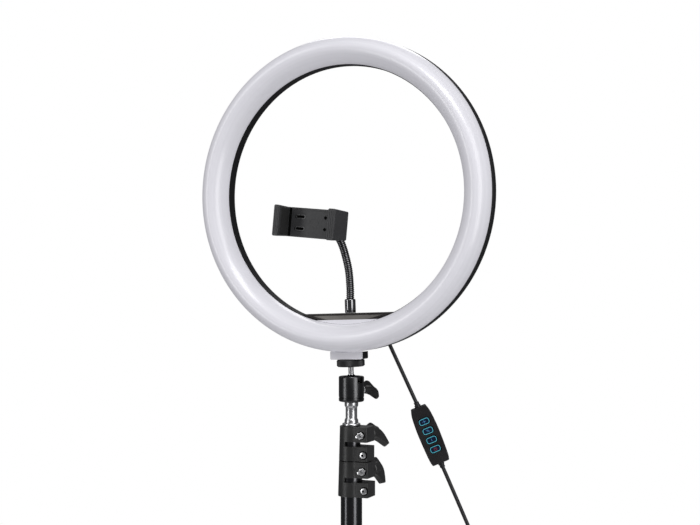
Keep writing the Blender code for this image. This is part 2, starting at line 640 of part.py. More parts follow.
def make_collar(name, number, parent, inner_r, outer_r, mat, steel):
    """A split clamp: its upper band grips the inner tube, and its lower band is fixed to the outer one."""
    top, tall = COLLAR_TOPS[number], COLLAR_HEIGHTS[number]
    slot = top - COLLAR_SLOT_DROPS[number]
    bm = prism(collar_outline(COLLAR_RADII[number], COLLAR_BLOCK_X[number]), top - tall, top)
    draft_round_side(bm, top)
    collar = solid(name, bm, mat, parent)
    joined(collar, "DIFFERENCE", rod((0, 0, slot + 0.6 * MM), (0, 0, top + MM), inner_r + GAP, TUBE_SIDES))
    joined(collar, "DIFFERENCE", rod((0, 0, top - tall - MM), (0, 0, slot + MM), outer_r + GAP, TUBE_SIDES))
    joined(collar, "DIFFERENCE", block((SLOT_START_X, -0.03, slot - COLLAR_SLOT), (0.03, 0.03, slot)))
    pinch, fixing = top - PINCH_DROPS[number], top - FIXING_DROPS[number]
    pinch_x, fixing_x, wide = PINCH_X[number], FIXING_X[number], 30 * MM
    joined(collar, "DIFFERENCE", rod((pinch_x, -wide, pinch), (pinch_x, wide, pinch), BOLT_R + GAP))
    joined(collar, "DIFFERENCE", rod((fixing_x, -wide, fixing), (fixing_x, wide, fixing), BOLT_R + GAP))
    prefix = name.split("_")[0]
    nut = prism(arc(3.8 * MM, 0, 2 * math.pi * 5 / 6, 6), 0, 2.2 * MM)
    bore = turned([(0, -MM), (BOLT_R + GAP, -MM), (BOLT_R + GAP, 4 * MM), (0, 4 * MM)], 12)
    front = -COLLAR_BLOCK_Y - GAP
    place = solid(f"{prefix}_pinch_nut", nut, steel, parent, (pinch_x, front, pinch), (math.pi / 2, 0.3, 0))
    joined(place, "DIFFERENCE", bore)
    profile = [(0, 0), (3.4 * MM, 0), (3.4 * MM, 1.5 * MM), (2.6 * MM, 2.2 * MM), (1.6 * MM, 2.2 * MM)]
    profile += [(1.4 * MM, 1.0 * MM), (0, 1.0 * MM)]
    bolt = turned(profile, 12)
    fixing_bolt = solid(f"{prefix}_fixing_bolt", bolt, steel, parent, (fixing_x, front, fixing), (math.pi / 2, 0, 0))
    shank = rod((0, 0, -2 * COLLAR_BLOCK_Y + MM), (0, 0, 0.5 * MM), BOLT_R)
    joined(fixing_bolt, "UNION", shank)
    return Vector((pinch_x, COLLAR_BLOCK_Y + GAP, pinch))


def make_spigot(ball_centre, mat):
    """The polished stud on the top tube: a plug in the tube, a flange, a waisted neck and a thread."""
    flange_top = COLLAR_TOPS[0] + 2.8 * MM
    flange = COLLAR_TOPS[0] + 0.5 * MM
    under = HOUSING_BOTTOM - GAP
    profile = [(0, flange - 20 * MM), (TOP_TUBE_BORE - GAP, flange - 20 * MM), (TOP_TUBE_BORE - GAP, flange)]
    profile += [(9.5 * MM, flange), (9.5 * MM, flange_top - 0.5 * MM), (9.0 * MM, flange_top)]
    profile += [(7.3 * MM, flange_top + 1.2 * MM), (7.1 * MM, flange_top + 3.2 * MM), (6.1 * MM, flange_top + 4.6 * MM)]
    profile += [(6.1 * MM, under - 6.0 * MM), (7.2 * MM, under - 4.2 * MM), (7.2 * MM, under - 0.8 * MM)]
    profile += [(6.6 * MM, under), (3.1 * MM, under), (3.1 * MM, under + 5.8 * MM), (0, under + 5.8 * MM)]
    solid("spigot", turned(profile, 20), mat, ball_centre)


# ---------------------------------------------------------------- folding base


def make_leg_hub(mast, mat):
    """The sliding hub: a barrel on the mast with three forked lugs for the legs, at its pivot height."""
    hub = empty("hub_frame", mast, (0, 0, LEG_PIVOT_Z))
    bore, barrel = OUTER_TUBE_R + GAP, 16.0 * MM
    profile = [(bore, -14 * MM), (barrel - MM, -14 * MM), (barrel, -13 * MM), (barrel, 19 * MM)]
    profile += [(barrel - MM, 20 * MM), (bore, 20 * MM)]
    body = solid("leg_hub", turned(profile, TUBE_SIDES, closed=True), mat, hub)
    add_lugs(body, barrel, LEG_WIDTH)
    along = Vector((math.cos(math.radians(30.0)), math.sin(math.radians(30.0)), 0.0))
    lift = Vector((0, 0, 13 * MM))
    joined(body, "DIFFERENCE", rod(along * 8 * MM + lift, along * 24 * MM + lift, 2.3 * MM + GAP))
    return hub


def add_lugs(body, barrel, width, pinned=False):
    """Pairs of ears round a barrel, one pair for each leg, with a gap between them for a bar of this width."""
    clear = width / 2 + 2 * GAP
    for azimuth in LEG_AZIMUTHS:
        for side in (-1, 1):
            low = Vector((barrel - 2 * MM, min(side * clear, side * (clear + 3 * MM)), -6 * MM))
            high = Vector((LEG_PIVOT_R + 5 * MM, max(side * clear, side * (clear + 3 * MM)), 6 * MM))
            ear = block(low, high)
            joined(body, "UNION", ear, turn=(0, 0, azimuth))
        if pinned:
            reach = clear + MM
            pin = rod((LEG_PIVOT_R, -reach, 0), (LEG_PIVOT_R, reach, 0), RIVET_R)
            joined(body, "UNION", pin, turn=(0, 0, azimuth))


def make_lower_bracket(mast, mat):
    """The fixed bracket at the mast's foot, with the struts' lower pivots and a plug under the tube."""
    frame = empty("bracket_frame", mast, (0, 0, STRUT_PIVOT_Z))
    low = OUTER_TUBE_BOTTOM - STRUT_PIVOT_Z
    bore, barrel = OUTER_TUBE_R + GAP, 16.0 * MM
    profile = [(0, low - 4 * MM), (barrel - MM, low - 4 * MM), (barrel, low - 3 * MM), (barrel, 10 * MM)]
    profile += [(barrel - MM, 11 * MM), (bore, 11 * MM), (bore, low - GAP), (0, low - GAP)]
    body = solid("lower_bracket", turned(profile, TUBE_SIDES), mat, frame)
    add_lugs(body, barrel, STRUT_WIDTH, pinned=True)


def leg_frame(mast, number, azimuth):
    return empty(f"leg_frame_{number}", mast, (0, 0, 0), (0, 0, azimuth))


def make_leg(mast, number, azimuth, steel, rubber):
    """A channel-section leg with its end in a rubber foot. Its local +Z runs from the hub down to the foot."""
    frame = leg_frame(mast, number, azimuth)
    axis = empty(f"leg_axis_{number}", frame, (LEG_PIVOT_R, 0, LEG_PIVOT_Z), (0, math.pi - LEG_ANGLE, 0))
    half, deep, wall = LEG_WIDTH / 2, LEG_DEEP / 2, LEG_WALL
    end = LEG_LENGTH - 2 * MM
    # The channel's open side is towards the mast, where the strut folds into it.
    outline = [(deep, half), (-deep, half), (-deep, -half), (deep, -half), (deep, -half + wall)]
    outline += [(-deep + wall, -half + wall), (-deep + wall, half - wall), (deep, half - wall)]
    leg = solid(f"leg_{number}", prism(outline, -7 * MM, end), steel, axis)
    joined(leg, "UNION", rod((0, -half + wall / 2, 0), (0, half - wall / 2, 0), RIVET_R))
    joined(leg, "UNION", rod((0, -half + wall / 2, STRUT_LENGTH), (0, half - wall / 2, STRUT_LENGTH), RIVET_R))
    foot = turned(foot_profile(), 16)
    down = Vector((0, 0, -1))
    level = Matrix.Rotation(-(math.pi - LEG_ANGLE), 3, "Y")
    foot_obj = solid(f"foot_{number}", foot, rubber, axis, at=(0, 0, LEG_LENGTH))
    cut_flat(foot_obj, level @ down, FOOT_RISE)
    pocket = block(
        (-deep - GAP, -half - GAP, LEG_LENGTH - 60 * MM), (deep + GAP, half + GAP, LEG_LENGTH - 2 * MM + GAP)
    )
    bmesh.ops.translate(pocket, verts=pocket.verts, vec=(0, 0, -LEG_LENGTH))
    joined(foot_obj, "DIFFERENCE", pocket)


def foot_profile():
    r, long = RUBBER_R, RUBBER_LENGTH
    return [(0, 15 * MM), (r - 3 * MM, 15 * MM), (r, 12 * MM), (r, 12 * MM - long), (0, 12 * MM - long)]


def cut_flat(obj, down, distance):
    """Cuts a foot level with the floor."""
    bm = bmesh.new()
    bm.from_mesh(obj.data)
    plane = down * distance
    cut = bmesh.ops.bisect_plane(
        bm, geom=bm.verts[:] + bm.edges[:] + bm.faces[:], plane_co=plane, plane_no=down, clear_outer=True
    )
    edges = [e for e in cut["geom_cut"] if isinstance(e, bmesh.types.BMEdge)]
    bmesh.ops.holes_fill(bm, edges=edges)
    bmesh.ops.recalc_face_normals(bm, faces=bm.faces)
    bm.to_mesh(obj.data)
    bm.free()


def make_strut(mast, number, azimuth, steel):
    """A flat bar from the bracket up and out to the leg's middle rivet. Its local +Z runs up the bar."""
    frame = bpy.data.objects[f"leg_frame_{number}"]
    axis = empty(f"strut_axis_{number}", frame, (LEG_PIVOT_R, 0, STRUT_PIVOT_Z), (0, LEG_ANGLE, 0))
    half, thick, round_r = STRUT_WIDTH / 2, STRUT_THICK / 2, 3.6 * MM
    bm = block((-thick, -half, 0), (thick, half, STRUT_LENGTH))
    strut = solid(f"strut_{number}", bm, steel, axis)
    for z in (0.0, STRUT_LENGTH):
        joined(strut, "UNION", rod((0, -half, z), (0, half, z), round_r, 16))
    for z in (0.0, STRUT_LENGTH):
        joined(strut, "DIFFERENCE", rod((0, -half - MM, z), (0, half + MM, z), RIVET_R + GAP))


# ---------------------------------------------------------------- power cord


def make_cord(mast, cord_mat, black, blue, steel):
    upper = [GLAND_TIP, GLAND_TIP.lerp(CONTROLLER_TOP, 0.33), GLAND_TIP.lerp(CONTROLLER_TOP, 0.68), CONTROLLER_TOP]
    along = (CONTROLLER_TOP - GLAND_TIP).normalized()
    upper[0] = upper[0] + along * GAP
    upper[-1] = upper[-1] - along * GAP
    tube("cord_upper", smooth_route(upper, 8 * MM), CORD_R, cord_mat, mast)
    lower = list(CORD_LOWER_POINTS)
    lower[0] = lower[0] + (lower[1] - lower[0]).normalized() * GAP
    tube("cord_lower", smooth_route(lower, 11 * MM), CORD_R, cord_mat, mast)
    make_controller(mast, black, blue)
    height = COIL_TUBE_R * 2
    profile = [(COIL_R - COIL_TUBE_R, CORD_LIFT + 2 * MM), (COIL_R - COIL_TUBE_R + 2 * MM, CORD_LIFT)]
    profile += [(COIL_R + COIL_TUBE_R - 2 * MM, CORD_LIFT), (COIL_R + COIL_TUBE_R, CORD_LIFT + 2 * MM)]
    profile += [(COIL_R + COIL_TUBE_R, height - 3 * MM), (COIL_R + COIL_TUBE_R - 3 * MM, height)]
    profile += [(COIL_R - COIL_TUBE_R + 3 * MM, height), (COIL_R - COIL_TUBE_R, height - 3 * MM)]
    solid("cord_coil", turned(profile, 32, closed=True), cord_mat, mast, COIL_CENTRE)
    make_plug(mast, black, steel)


def make_controller(mast, black, blue):
    """A flattened switch body along the cord, in two shells, with four buttons in its face."""
    along = (CONTROLLER_END - CONTROLLER_TOP).normalized()
    side = along.cross(Vector((-0.42, 0.907, 0.0))).normalized()
    face = side.cross(along).normalized()
    turn = Matrix((side, along * -1, face * -1)).transposed()
    if turn.determinant() < 0:
        turn = Matrix((side * -1, along * -1, face * -1)).transposed()
    middle = (CONTROLLER_TOP + CONTROLLER_END) / 2
    length = (CONTROLLER_END - CONTROLLER_TOP).length
    frame = empty("controller_frame", mast, middle, turn.to_euler())
    half = length / 2 - 5.75 * MM
    outline = [(-8.0 * MM, half), (-11.2 * MM, half * 0.4), (-11.2 * MM, -half * 0.35), (-9.0 * MM, -half)]
    outline += [(-x, y) for x, y in outline[::-1]]
    front = rounded(prism(outline, GAP / 2, 5.6 * MM), 1.4 * MM, 1)
    shell = solid("controller_front", front, black, frame)
    rear = solid("controller_rear", rounded(prism(outline, -4.6 * MM, -GAP / 2), 1.4 * MM, 1), black, frame)
    for end in (-1, 1):
        relief = rod((0, end * (half - 2 * MM), -0.4 * MM), (0, end * (length / 2 - GAP), -0.4 * MM), 3.1 * MM, 12)
        trim_above(relief, -GAP / 2)
        joined(rear, "UNION", relief)
    for number in range(4):
        place = Vector((0, KEY_START - number * KEY_PITCH, 0))
        pocket = block(
            place + Vector((-KEY_HALF_X - 0.4 * MM, -KEY_HALF_Y - 0.4 * MM, 3.2 * MM)),
            place + Vector((KEY_HALF_X + 0.4 * MM, KEY_HALF_Y + 0.4 * MM, 8 * MM)),
        )
        joined(shell, "DIFFERENCE", rounded(pocket, 1.2 * MM, 1, [e for e in pocket.edges if is_upright(e)]))
        cap = block(
            place + Vector((-KEY_HALF_X, -KEY_HALF_Y, 4.2 * MM)), place + Vector((KEY_HALF_X, KEY_HALF_Y, 6.4 * MM))
        )
        rounded(cap, 1.0 * MM, 1, [e for e in cap.edges if is_upright(e)])
        solid(f"button_{number + 1}", cap, blue, frame)


def is_upright(edge):
    return abs(edge.verts[0].co.z - edge.verts[1].co.z) > 1e-6


def trim_above(bm, height):
    cut = bmesh.ops.bisect_plane(
        bm,
        geom=bm.verts[:] + bm.edges[:] + bm.faces[:],
        plane_co=(0, 0, height),
        plane_no=(0, 0, 1),
        clear_outer=True,
    )
    bmesh.ops.holes_fill(bm, edges=[e for e in cut["geom_cut"] if isinstance(e, bmesh.types.BMEdge)])


def make_plug(mast, black, steel):
    """A moulded plug flat on the floor beside the coil, with its cord boot touching the coil."""
    frame = empty("plug_frame", mast, COIL_CENTRE + PLUG_AT, (0, 0, math.radians(170.0)))
    long, wide, tall = PLUG_BODY
    boot = 13 * MM
    low = CORD_LIFT
    body = rounded(block((boot, -wide / 2, low), (boot + long - boot * 0.4, wide / 2, low + tall)), 1.2 * MM, 1)
    plug = solid("usb_plug_body", body, black, frame)
    middle = low + tall / 2
    joined(plug, "UNION", rod((GAP, 0, middle), (boot + 2 * MM, 0, middle), 3.0 * MM))
    start = boot + long - boot * 0.4 + GAP
    tip_long, tip_wide, tip_tall = PLUG_TIP
    shell = block(
        (start, -tip_wide / 2, middle - tip_tall / 2), (start + tip_long, tip_wide / 2, middle + tip_tall / 2)
    )
    tip = solid("usb_plug_shell", shell, steel, frame)
    mouth = block(
        (start + 4 * MM, -tip_wide / 2 + 0.4 * MM, middle - 0.3 * MM),
        (start + tip_long + MM, tip_wide / 2 - 0.4 * MM, middle + tip_tall / 2 - 0.4 * MM),
    )
    joined(tip, "DIFFERENCE", mouth)


# ---------------------------------------------------------------- assembly


def main():
    clear_scene()
    white = material("white_diffuser", (0.80, 0.79, 0.82), 0.35)
    black = material("black_plastic", (0.03, 0.03, 0.032), 0.45)
    collar = material("collar_plastic", (0.045, 0.045, 0.045), 0.6)
    gloss = material("gloss_black", (0.015, 0.015, 0.015), 0.2)
    knurled = material("knurled_black", (0.03, 0.03, 0.035), 0.5)
    steel = material("bright_steel", (0.75, 0.75, 0.76), 0.2, 1.0)
    chrome = material("polished_spigot", (0.85, 0.85, 0.86), 0.1, 1.0)
    brass = material("brass_insert", (0.7, 0.55, 0.25), 0.3, 1.0)
    board = material("white_circuit_board", (0.8, 0.8, 0.75), 0.6)
    paint = material("black_painted_steel", (0.02, 0.02, 0.022), 0.35, 0.3)
    rubber = material("black_rubber", (0.02, 0.02, 0.02), 0.8)
    neck_mat = material("neck_coating", (0.03, 0.03, 0.03), 0.4)
    cord_mat = material("cord_sheath", (0.02, 0.02, 0.02), 0.5)
    button = material("button_face", (0.05, 0.25, 0.4), 0.4)

    mast = empty("mast", None, (0.0, MAST_Y, 0.0))
    ball_z = RING_HEIGHT - BALL_BELOW_RING * math.cos(HEAD_ROLL)
    ball_centre = empty("ball_centre", mast, (0, 0, ball_z))
    ball_head = empty("ball_head", ball_centre, (0, 0, 0), (0, HEAD_ROLL, 0))
    head = empty("head", ball_head, (0, -BALL_BEHIND_SEAM, BALL_BELOW_RING))
    ring = empty("ring", head, (0, 0, 0), (-math.pi / 2, 0, 0))
    middle = (BALL_BELOW_RING * math.sin(HEAD_ROLL), -BALL_BEHIND_SEAM, RING_HEIGHT)
    ring_middle = empty("ring_middle", mast, middle)

    make_diffuser(ring, white)
    make_back_shell(ring, black)
    make_led_board(ring, board)
    make_foot(head, white, black, brass)
    make_cross_bar(head, black)
    make_gland(head, black)
    make_shell_screws(head, steel)

    make_ferrule(head, chrome)
    make_neck(ring_middle, neck_mat, steel)
    make_holder(ring_middle, black, steel)

    make_ball_head(ball_centre, ball_head, steel, gloss, knurled)
    knob_at = Vector((math.cos(BALL_KNOB_AZIMUTH), math.sin(BALL_KNOB_AZIMUTH), 0)) * 16.2 * MM
    knob_at.z = -BALL_KNOB_DROP
    size, short = BALL_KNOB_SIZE, BALL_KNOB_SHORT_WING
    tilt = math.radians(-39)
    make_knob("ball_knob", ball_centre, knob_at, BALL_KNOB_AZIMUTH, tilt, 9 * MM, 2.0 * MM, collar, size, short)

    make_spigot(ball_centre, chrome)
    tube_top = COLLAR_TOPS[0] + 0.2 * MM
    pipe("top_tube", TOP_TUBE_R, TOP_TUBE_BORE, tube_top - TUBE_LENGTH, tube_top, paint, ball_centre)
    tops = [top - drop + 0.5 * MM for top, drop in zip(COLLAR_TOPS, COLLAR_SLOT_DROPS)]
    pipe("mid_tube", MID_TUBE_R, MID_TUBE_BORE, tops[0] - TUBE_LENGTH, tops[0], paint, ball_centre)
    pipe("outer_tube", OUTER_TUBE_R, OUTER_TUBE_BORE, OUTER_TUBE_BOTTOM, ball_z + tops[1], paint, mast)
    at = make_collar("upper_collar", 0, ball_centre, TOP_TUBE_R, MID_TUBE_R, collar, steel)
    make_knob("upper_knob", ball_centre, at, math.pi / 2, math.radians(-40), PINCH_SCREW, BOLT_R, collar)
    at = make_collar("lower_collar", 1, ball_centre, MID_TUBE_R, OUTER_TUBE_R, collar, steel)
    make_knob("lower_knob", ball_centre, at, math.pi / 2, math.radians(-16), PINCH_SCREW, BOLT_R, collar)

    hub = make_leg_hub(mast, collar)
    level = Vector((math.cos(math.radians(30)), math.sin(math.radians(30)), 0)) * (16 * MM + GAP)
    level.z = 13 * MM
    make_knob("hub_knob", hub, level, math.radians(30), 0.0, 4 * MM, 2.3 * MM, collar)
    make_lower_bracket(mast, collar)
    for number, azimuth in enumerate(LEG_AZIMUTHS, 1):
        make_leg(mast, number, azimuth, paint, rubber)
        make_strut(mast, number, azimuth, paint)

    make_cord(mast, cord_mat, black, button, steel)


main()
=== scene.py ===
import math

import bmesh
import bpy
from mathutils import Matrix, Vector


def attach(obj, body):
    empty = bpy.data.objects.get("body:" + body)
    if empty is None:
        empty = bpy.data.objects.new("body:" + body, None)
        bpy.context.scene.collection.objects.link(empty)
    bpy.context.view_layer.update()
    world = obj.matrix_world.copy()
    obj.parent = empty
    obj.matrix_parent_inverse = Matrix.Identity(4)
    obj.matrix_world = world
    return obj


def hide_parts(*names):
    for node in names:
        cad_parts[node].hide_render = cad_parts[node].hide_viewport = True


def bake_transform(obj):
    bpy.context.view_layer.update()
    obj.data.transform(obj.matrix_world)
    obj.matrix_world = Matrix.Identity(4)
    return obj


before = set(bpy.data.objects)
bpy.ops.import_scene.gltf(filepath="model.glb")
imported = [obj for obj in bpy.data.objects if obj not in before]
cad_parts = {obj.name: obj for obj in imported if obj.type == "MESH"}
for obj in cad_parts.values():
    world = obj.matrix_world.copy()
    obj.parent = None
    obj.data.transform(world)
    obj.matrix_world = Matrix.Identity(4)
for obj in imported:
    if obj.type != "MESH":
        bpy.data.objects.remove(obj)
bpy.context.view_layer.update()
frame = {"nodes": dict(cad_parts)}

# A ring light on a telescopic stand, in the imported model's frame: +Z up, facing -Y.
# Everything is in metres, apart from numbers that a comment or mm() gives in millimetres.
MM = 0.001
GAP = 0.3 * MM


def mm(*lengths):
    """Lengths in millimetres, as metres."""
    return tuple(length * MM for length in lengths)


def in_mm(points):
    return [mm(*point) for point in points]


# ---------------------------------------------------------------- dimensions shared with the frame

RING_R, RING_INNER_R, RING_CREST_R = mm(165.0, 136.2, 152.0)
BULGE, ROUNDNESS, LIP_DEPTH = 18.5 * MM, 1.85, 2.0 * MM
SHELL_DEPTH, SHELL_INNER_R = mm(15.9, 135.5)
RING_HEIGHT, BALL_BELOW_RING, BALL_BEHIND_SEAM = mm(957.0, 195.8, 8.0)
HEAD_ROLL = math.radians(-2.3)
FOOT_BOTTOM = -172.7 * MM
LEG_LENGTH, STRUT_LENGTH, LEG_ANGLE = 500.0 * MM, 200.0 * MM, math.radians(52.0)
LEG_PIVOT_R, FOOT_RISE = mm(27.0, 12.0)
LEG_AZIMUTHS = [math.radians(a) for a in (90.0, 210.0, 330.0)]
LEG_PIVOT_Z = FOOT_RISE + LEG_LENGTH * math.cos(LEG_ANGLE)
MAST_Y = -0.25 * (LEG_PIVOT_R + LEG_LENGTH * math.sin(LEG_ANGLE)) - 1.26 * MM
HOUSING_R, HOUSING_TOP, HOUSING_BOTTOM = mm(13.3, 5.0, -21.3)
BALL_KNOB_DROP = 10.2 * MM
COLLAR_RADII, COLLAR_DRAFT = mm(13.0, 14.0), 0.07
COLLAR_X, COLLAR_Y = mm(22.1, 23.0), 10.7 * MM
COLLAR_TOPS, COLLAR_HEIGHTS = mm(-47.0, -83.3), mm(35.8, 36.6)
SLOT_DROPS, SLOT, SLOT_START = mm(15.5, 16.5), 4.9 * MM, -2.0 * MM
FAR = 0.03  # well past a collar's faces
PINCH_X, FIXING_X = mm(15.6, 17.4), mm(18.3, 19.3)
PINCH_DROPS, FIXING_DROPS = mm(8.5, 9.4), mm(28.7, 29.4)
TUBE_LENGTH = 540.0 * MM
BAR_TOP = -124.6 * MM
NECK_FOOT = mm(2.1, 7.5)  # across and back from the middle of the ring
CORD_R = 2.0 * MM


def at(x=0.0, y=0.0, z=0.0):
    return Matrix.Translation((x, y, z))


def spin(angle, axis):
    return Matrix.Rotation(angle, 4, axis)


BALL_Z = RING_HEIGHT - BALL_BELOW_RING * math.cos(HEAD_ROLL)
MAST = at(0, MAST_Y, 0)
BALL = MAST @ at(0, 0, BALL_Z)
LEANING = BALL @ spin(HEAD_ROLL, "Y")
HEAD = LEANING @ at(0, -BALL_BEHIND_SEAM, BALL_BELOW_RING)
RING = HEAD @ spin(-math.pi / 2, "X")
MIDDLE = MAST @ at(BALL_BELOW_RING * math.sin(HEAD_ROLL), -BALL_BEHIND_SEAM, RING_HEIGHT)
HOLDER = MIDDLE @ at(*mm(-24.7, -3.0, -31.0)) @ spin(math.radians(4.8), "Y") @ spin(math.radians(-1.5), "X")

# ---------------------------------------------------------------- camera

CAMERA_AZIMUTH = 24.53  # degrees from -Y towards +X


def make_camera():
    data = bpy.data.cameras.new("camera")
    data.lens, data.sensor_width = 66.86, 36.0
    data.clip_start, data.clip_end = 0.02, 60.0
    camera = bpy.data.objects.new("camera", data)
    bpy.context.scene.collection.objects.link(camera)
    camera.location = MIDDLE.translation + Vector((572.8, -1233.5, -71.4)) * MM
    camera.rotation_euler = (math.pi / 2, 0.0, math.radians(CAMERA_AZIMUTH))
    bpy.context.scene.camera = camera


make_camera()

# ---------------------------------------------------------------- mesh helpers


def turned(profile, sides, closed=False):
    """Revolves (radius, height) points about Z. An open profile starts and ends on the axis."""
    bm = bmesh.new()
    rings = []
    for radius, height in profile:
        if radius < 1e-9:
            rings.append([bm.verts.new((0.0, 0.0, height))])
            continue
        steps = [2.0 * math.pi * i / sides for i in range(sides)]
        rings.append([bm.verts.new((radius * math.cos(a), radius * math.sin(a), height)) for a in steps])
    pairs = list(zip(rings, rings[1:]))
    if closed:
        pairs.append((rings[-1], rings[0]))
    for low, high in pairs:
        for i in range(sides):
            j = (i + 1) % sides
            corners = [low[i % len(low)], low[j % len(low)], high[j % len(high)], high[i % len(high)]]
            bm.faces.new([v for k, v in enumerate(corners) if v not in corners[:k]])
    return bm


def prism(outline, low, high):
    """Extrudes an (x, y) outline from z = low to z = high."""
    bm = bmesh.new()
    face = bm.faces.new([bm.verts.new((x, y, low)) for x, y in outline])
    raised = bmesh.ops.extrude_face_region(bm, geom=[face])["geom"]
    bmesh.ops.translate(bm, verts=[v for v in raised if isinstance(v, bmesh.types.BMVert)], vec=(0, 0, high - low))
    return bm


def block(low, high):
    bm = bmesh.new()
    bmesh.ops.create_cube(bm, size=1.0)
    for v in bm.verts:
        v.co = Vector([a + (b - a) * (c + 0.5) for a, b, c in zip(low, high, v.co)])
    return bm


def rod(start, end, radius, sides=32):
    start, end = Vector(start), Vector(end)
    long = (end - start).length
    bm = turned([(0, 0), (radius, 0), (radius, long), (0, long)], sides)
    way = (end - start).to_track_quat("Z", "Y").to_matrix().to_4x4()
    bmesh.ops.transform(bm, matrix=Matrix.Translation(start) @ way, verts=bm.verts)
    return bm


def swept(route, radii, sides, up=(0.0, 1.0, 0.0)):
    """A round bar along a route, with flat ends. radii is one radius, or one for each point."""
    bm = bmesh.new()
    rings, side = [], Vector(up)
    for k, place in enumerate(route):
        along = (route[min(k + 1, len(route) - 1)] - route[max(k - 1, 0)]).normalized()
        side = (side - along * side.dot(along)).normalized()
        other = along.cross(side)
        r = radii[k] if hasattr(radii, "__len__") else radii
        steps = [2.0 * math.pi * i / sides for i in range(sides)]
        rings.append([bm.verts.new(place + (side * math.cos(a) + other * math.sin(a)) * r) for a in steps])
    for low, high in zip(rings, rings[1:]):
        for i in range(sides):
            j = (i + 1) % sides
            bm.faces.new((low[i], low[j], high[j], high[i]))
    bm.faces.new(rings[0][::-1])
    bm.faces.new(rings[-1])
    return bm


def arc(radius, start, end, count, centre=(0.0, 0.0)):
    steps = [start + (end - start) * i / (count - 1) for i in range(count)]
    return [(centre[0] + radius * math.cos(a), centre[1] + radius * math.sin(a)) for a in steps]


def rounded_box_outline(half_x, half_y, corner, count=6, centre=(0.0, 0.0)):
    out = []
    for k, (sx, sy) in enumerate(((1, 1), (-1, 1), (-1, -1), (1, -1))):
        middle = (centre[0] + sx * (half_x - corner), centre[1] + sy * (half_y - corner))
        out += arc(corner, k * math.pi / 2, (k + 1) * math.pi / 2, count, middle)
    return out


def box(x, y, z):
    """A block from its (low, high) span along each axis, in millimetres."""
    return block(*[mm(*corner) for corner in zip(x, y, z)])


def rounded_plate(half_x, half_y, corner, centre, low, high, count=6):
    """A plate with rounded corners, from low to high, all in millimetres."""
    outline = rounded_box_outline(half_x * MM, half_y * MM, corner * MM, count, mm(*centre))
    return prism(outline, low * MM, high * MM)


def smooth_route(points, spacing):
    """Points a set distance apart on a smooth curve through the given ones (Catmull-Rom)."""
    ends = [points[0] * 2 - points[1], *points, points[-1] * 2 - points[-2]]
    fine = []
    for a, b, c, d in zip(ends, ends[1:], ends[2:], ends[3:]):
        for i in range(40):
            t = i / 40.0
            fine.append(
                0.5 * (2 * b + (c - a) * t + (2 * a - 5 * b + 4 * c - d) * t * t + (3 * b - a - 3 * c + d) * t**3)
            )
    fine.append(points[-1])
    travelled = [0.0]
    for p, q in zip(fine, fine[1:]):
        travelled.append(travelled[-1] + (q - p).length)
    count = max(2, round(travelled[-1] / spacing))
    route, k = [], 0
    for i in range(count + 1):
        want = travelled[-1] * i / count
        while k < len(fine) - 2 and travelled[k + 1] < want:
            k += 1
        span = max(travelled[k + 1] - travelled[k], 1e-9)
        route.append(fine[k].lerp(fine[k + 1], min(1.0, (want - travelled[k]) / span)))
    return route


def lay_back(bm):
    """Turns a shape drawn in x and z, and extruded along its third axis, so that it is extruded along +Y."""
    bmesh.ops.transform(bm, matrix=Matrix(((1, 0, 0), (0, 0, 1), (0, 1, 0))).to_4x4(), verts=bm.verts)
    return bm


SHARP_ANGLE = 35.0


def as_object(name, bm, place=None):
    """Links a new object made from a bmesh. place leads from the frame it was drawn in to the row frame."""
    mesh = bpy.data.meshes.new(name)
    bm.to_mesh(mesh)
    bm.free()
    if place is not None:
        mesh.transform(place)
    obj = bpy.data.objects.new(name, mesh)
    bpy.context.scene.collection.objects.link(obj)
    return obj


def piece(name, bm, mat, place=None, angle=SHARP_ANGLE):
    """A shown piece from a bmesh drawn in a local frame. Its vertices end in the row frame."""
    bmesh.ops.remove_doubles(bm, verts=bm.verts, dist=1e-7)
    bmesh.ops.recalc_face_normals(bm, faces=bm.faces)
    obj = as_object(name, bm, place)
    obj.data.shade_smooth()
    obj.data.set_sharp_from_angle(angle=math.radians(angle))
    obj.data.materials.append(MATERIALS[mat])
    return obj


def carve(obj, bm, place=None, operation="DIFFERENCE"):
    """Applies a Boolean of another closed shape to a piece, once and for all."""
    bmesh.ops.recalc_face_normals(bm, faces=bm.faces)
    cutter = as_object("cutter", bm, place)
    modifier = obj.modifiers.new("boolean", "BOOLEAN")
    modifier.operation, modifier.object, modifier.solver = operation, cutter, "EXACT"
    bpy.context.view_layer.update()
    result = bpy.data.meshes.new_from_object(obj.evaluated_get(bpy.context.evaluated_depsgraph_get()))
    if len(result.polygons) < 6:
        raise RuntimeError(f"the Boolean left nothing of {obj.name}")
    obj.modifiers.clear()
    obj.data = result
    bpy.data.objects.remove(cutter, do_unlink=True)
    obj.data.shade_smooth()
    obj.data.set_sharp_from_angle(angle=math.radians(SHARP_ANGLE))


def soften(obj, width, steps=3, angle=32.0, highlight_edges=None):
    """Rounds a piece's sharp edges and keeps its flats flat. Its last argument names a lighter material for the edges:
    a painted highlight along them.
    """
    obj.data.shade_smooth()
    edge = obj.modifiers.new("edges", "BEVEL")
    edge.width, edge.segments, edge.limit_method, edge.angle_limit = width, steps, "ANGLE", math.radians(angle)
    edge.use_clamp_overlap = True
    # Lighter edges: painted highlight along the rounded edges.
    if highlight_edges:
        obj.data.materials.append(MATERIALS[highlight_edges])
        edge.material = len(obj.data.materials) - 1
    shade = obj.modifiers.new("shading", "WEIGHTED_NORMAL")
    shade.keep_sharp = False


def ride(obj, body, *nodes, slot):
    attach(obj, body)
    if nodes:
        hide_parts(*nodes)
    return obj


def add(name, bm, mat, place, body, *nodes, slot, angle=SHARP_ANGLE):
    """A finished piece that rides on a body."""
    return ride(piece(name, bm, mat, place, angle), body, *nodes, slot=slot)


def eased(u):
    """A smooth step from 0 to 1."""
    return u * u * (3 - 2 * u)


# ---------------------------------------------------------------- materials

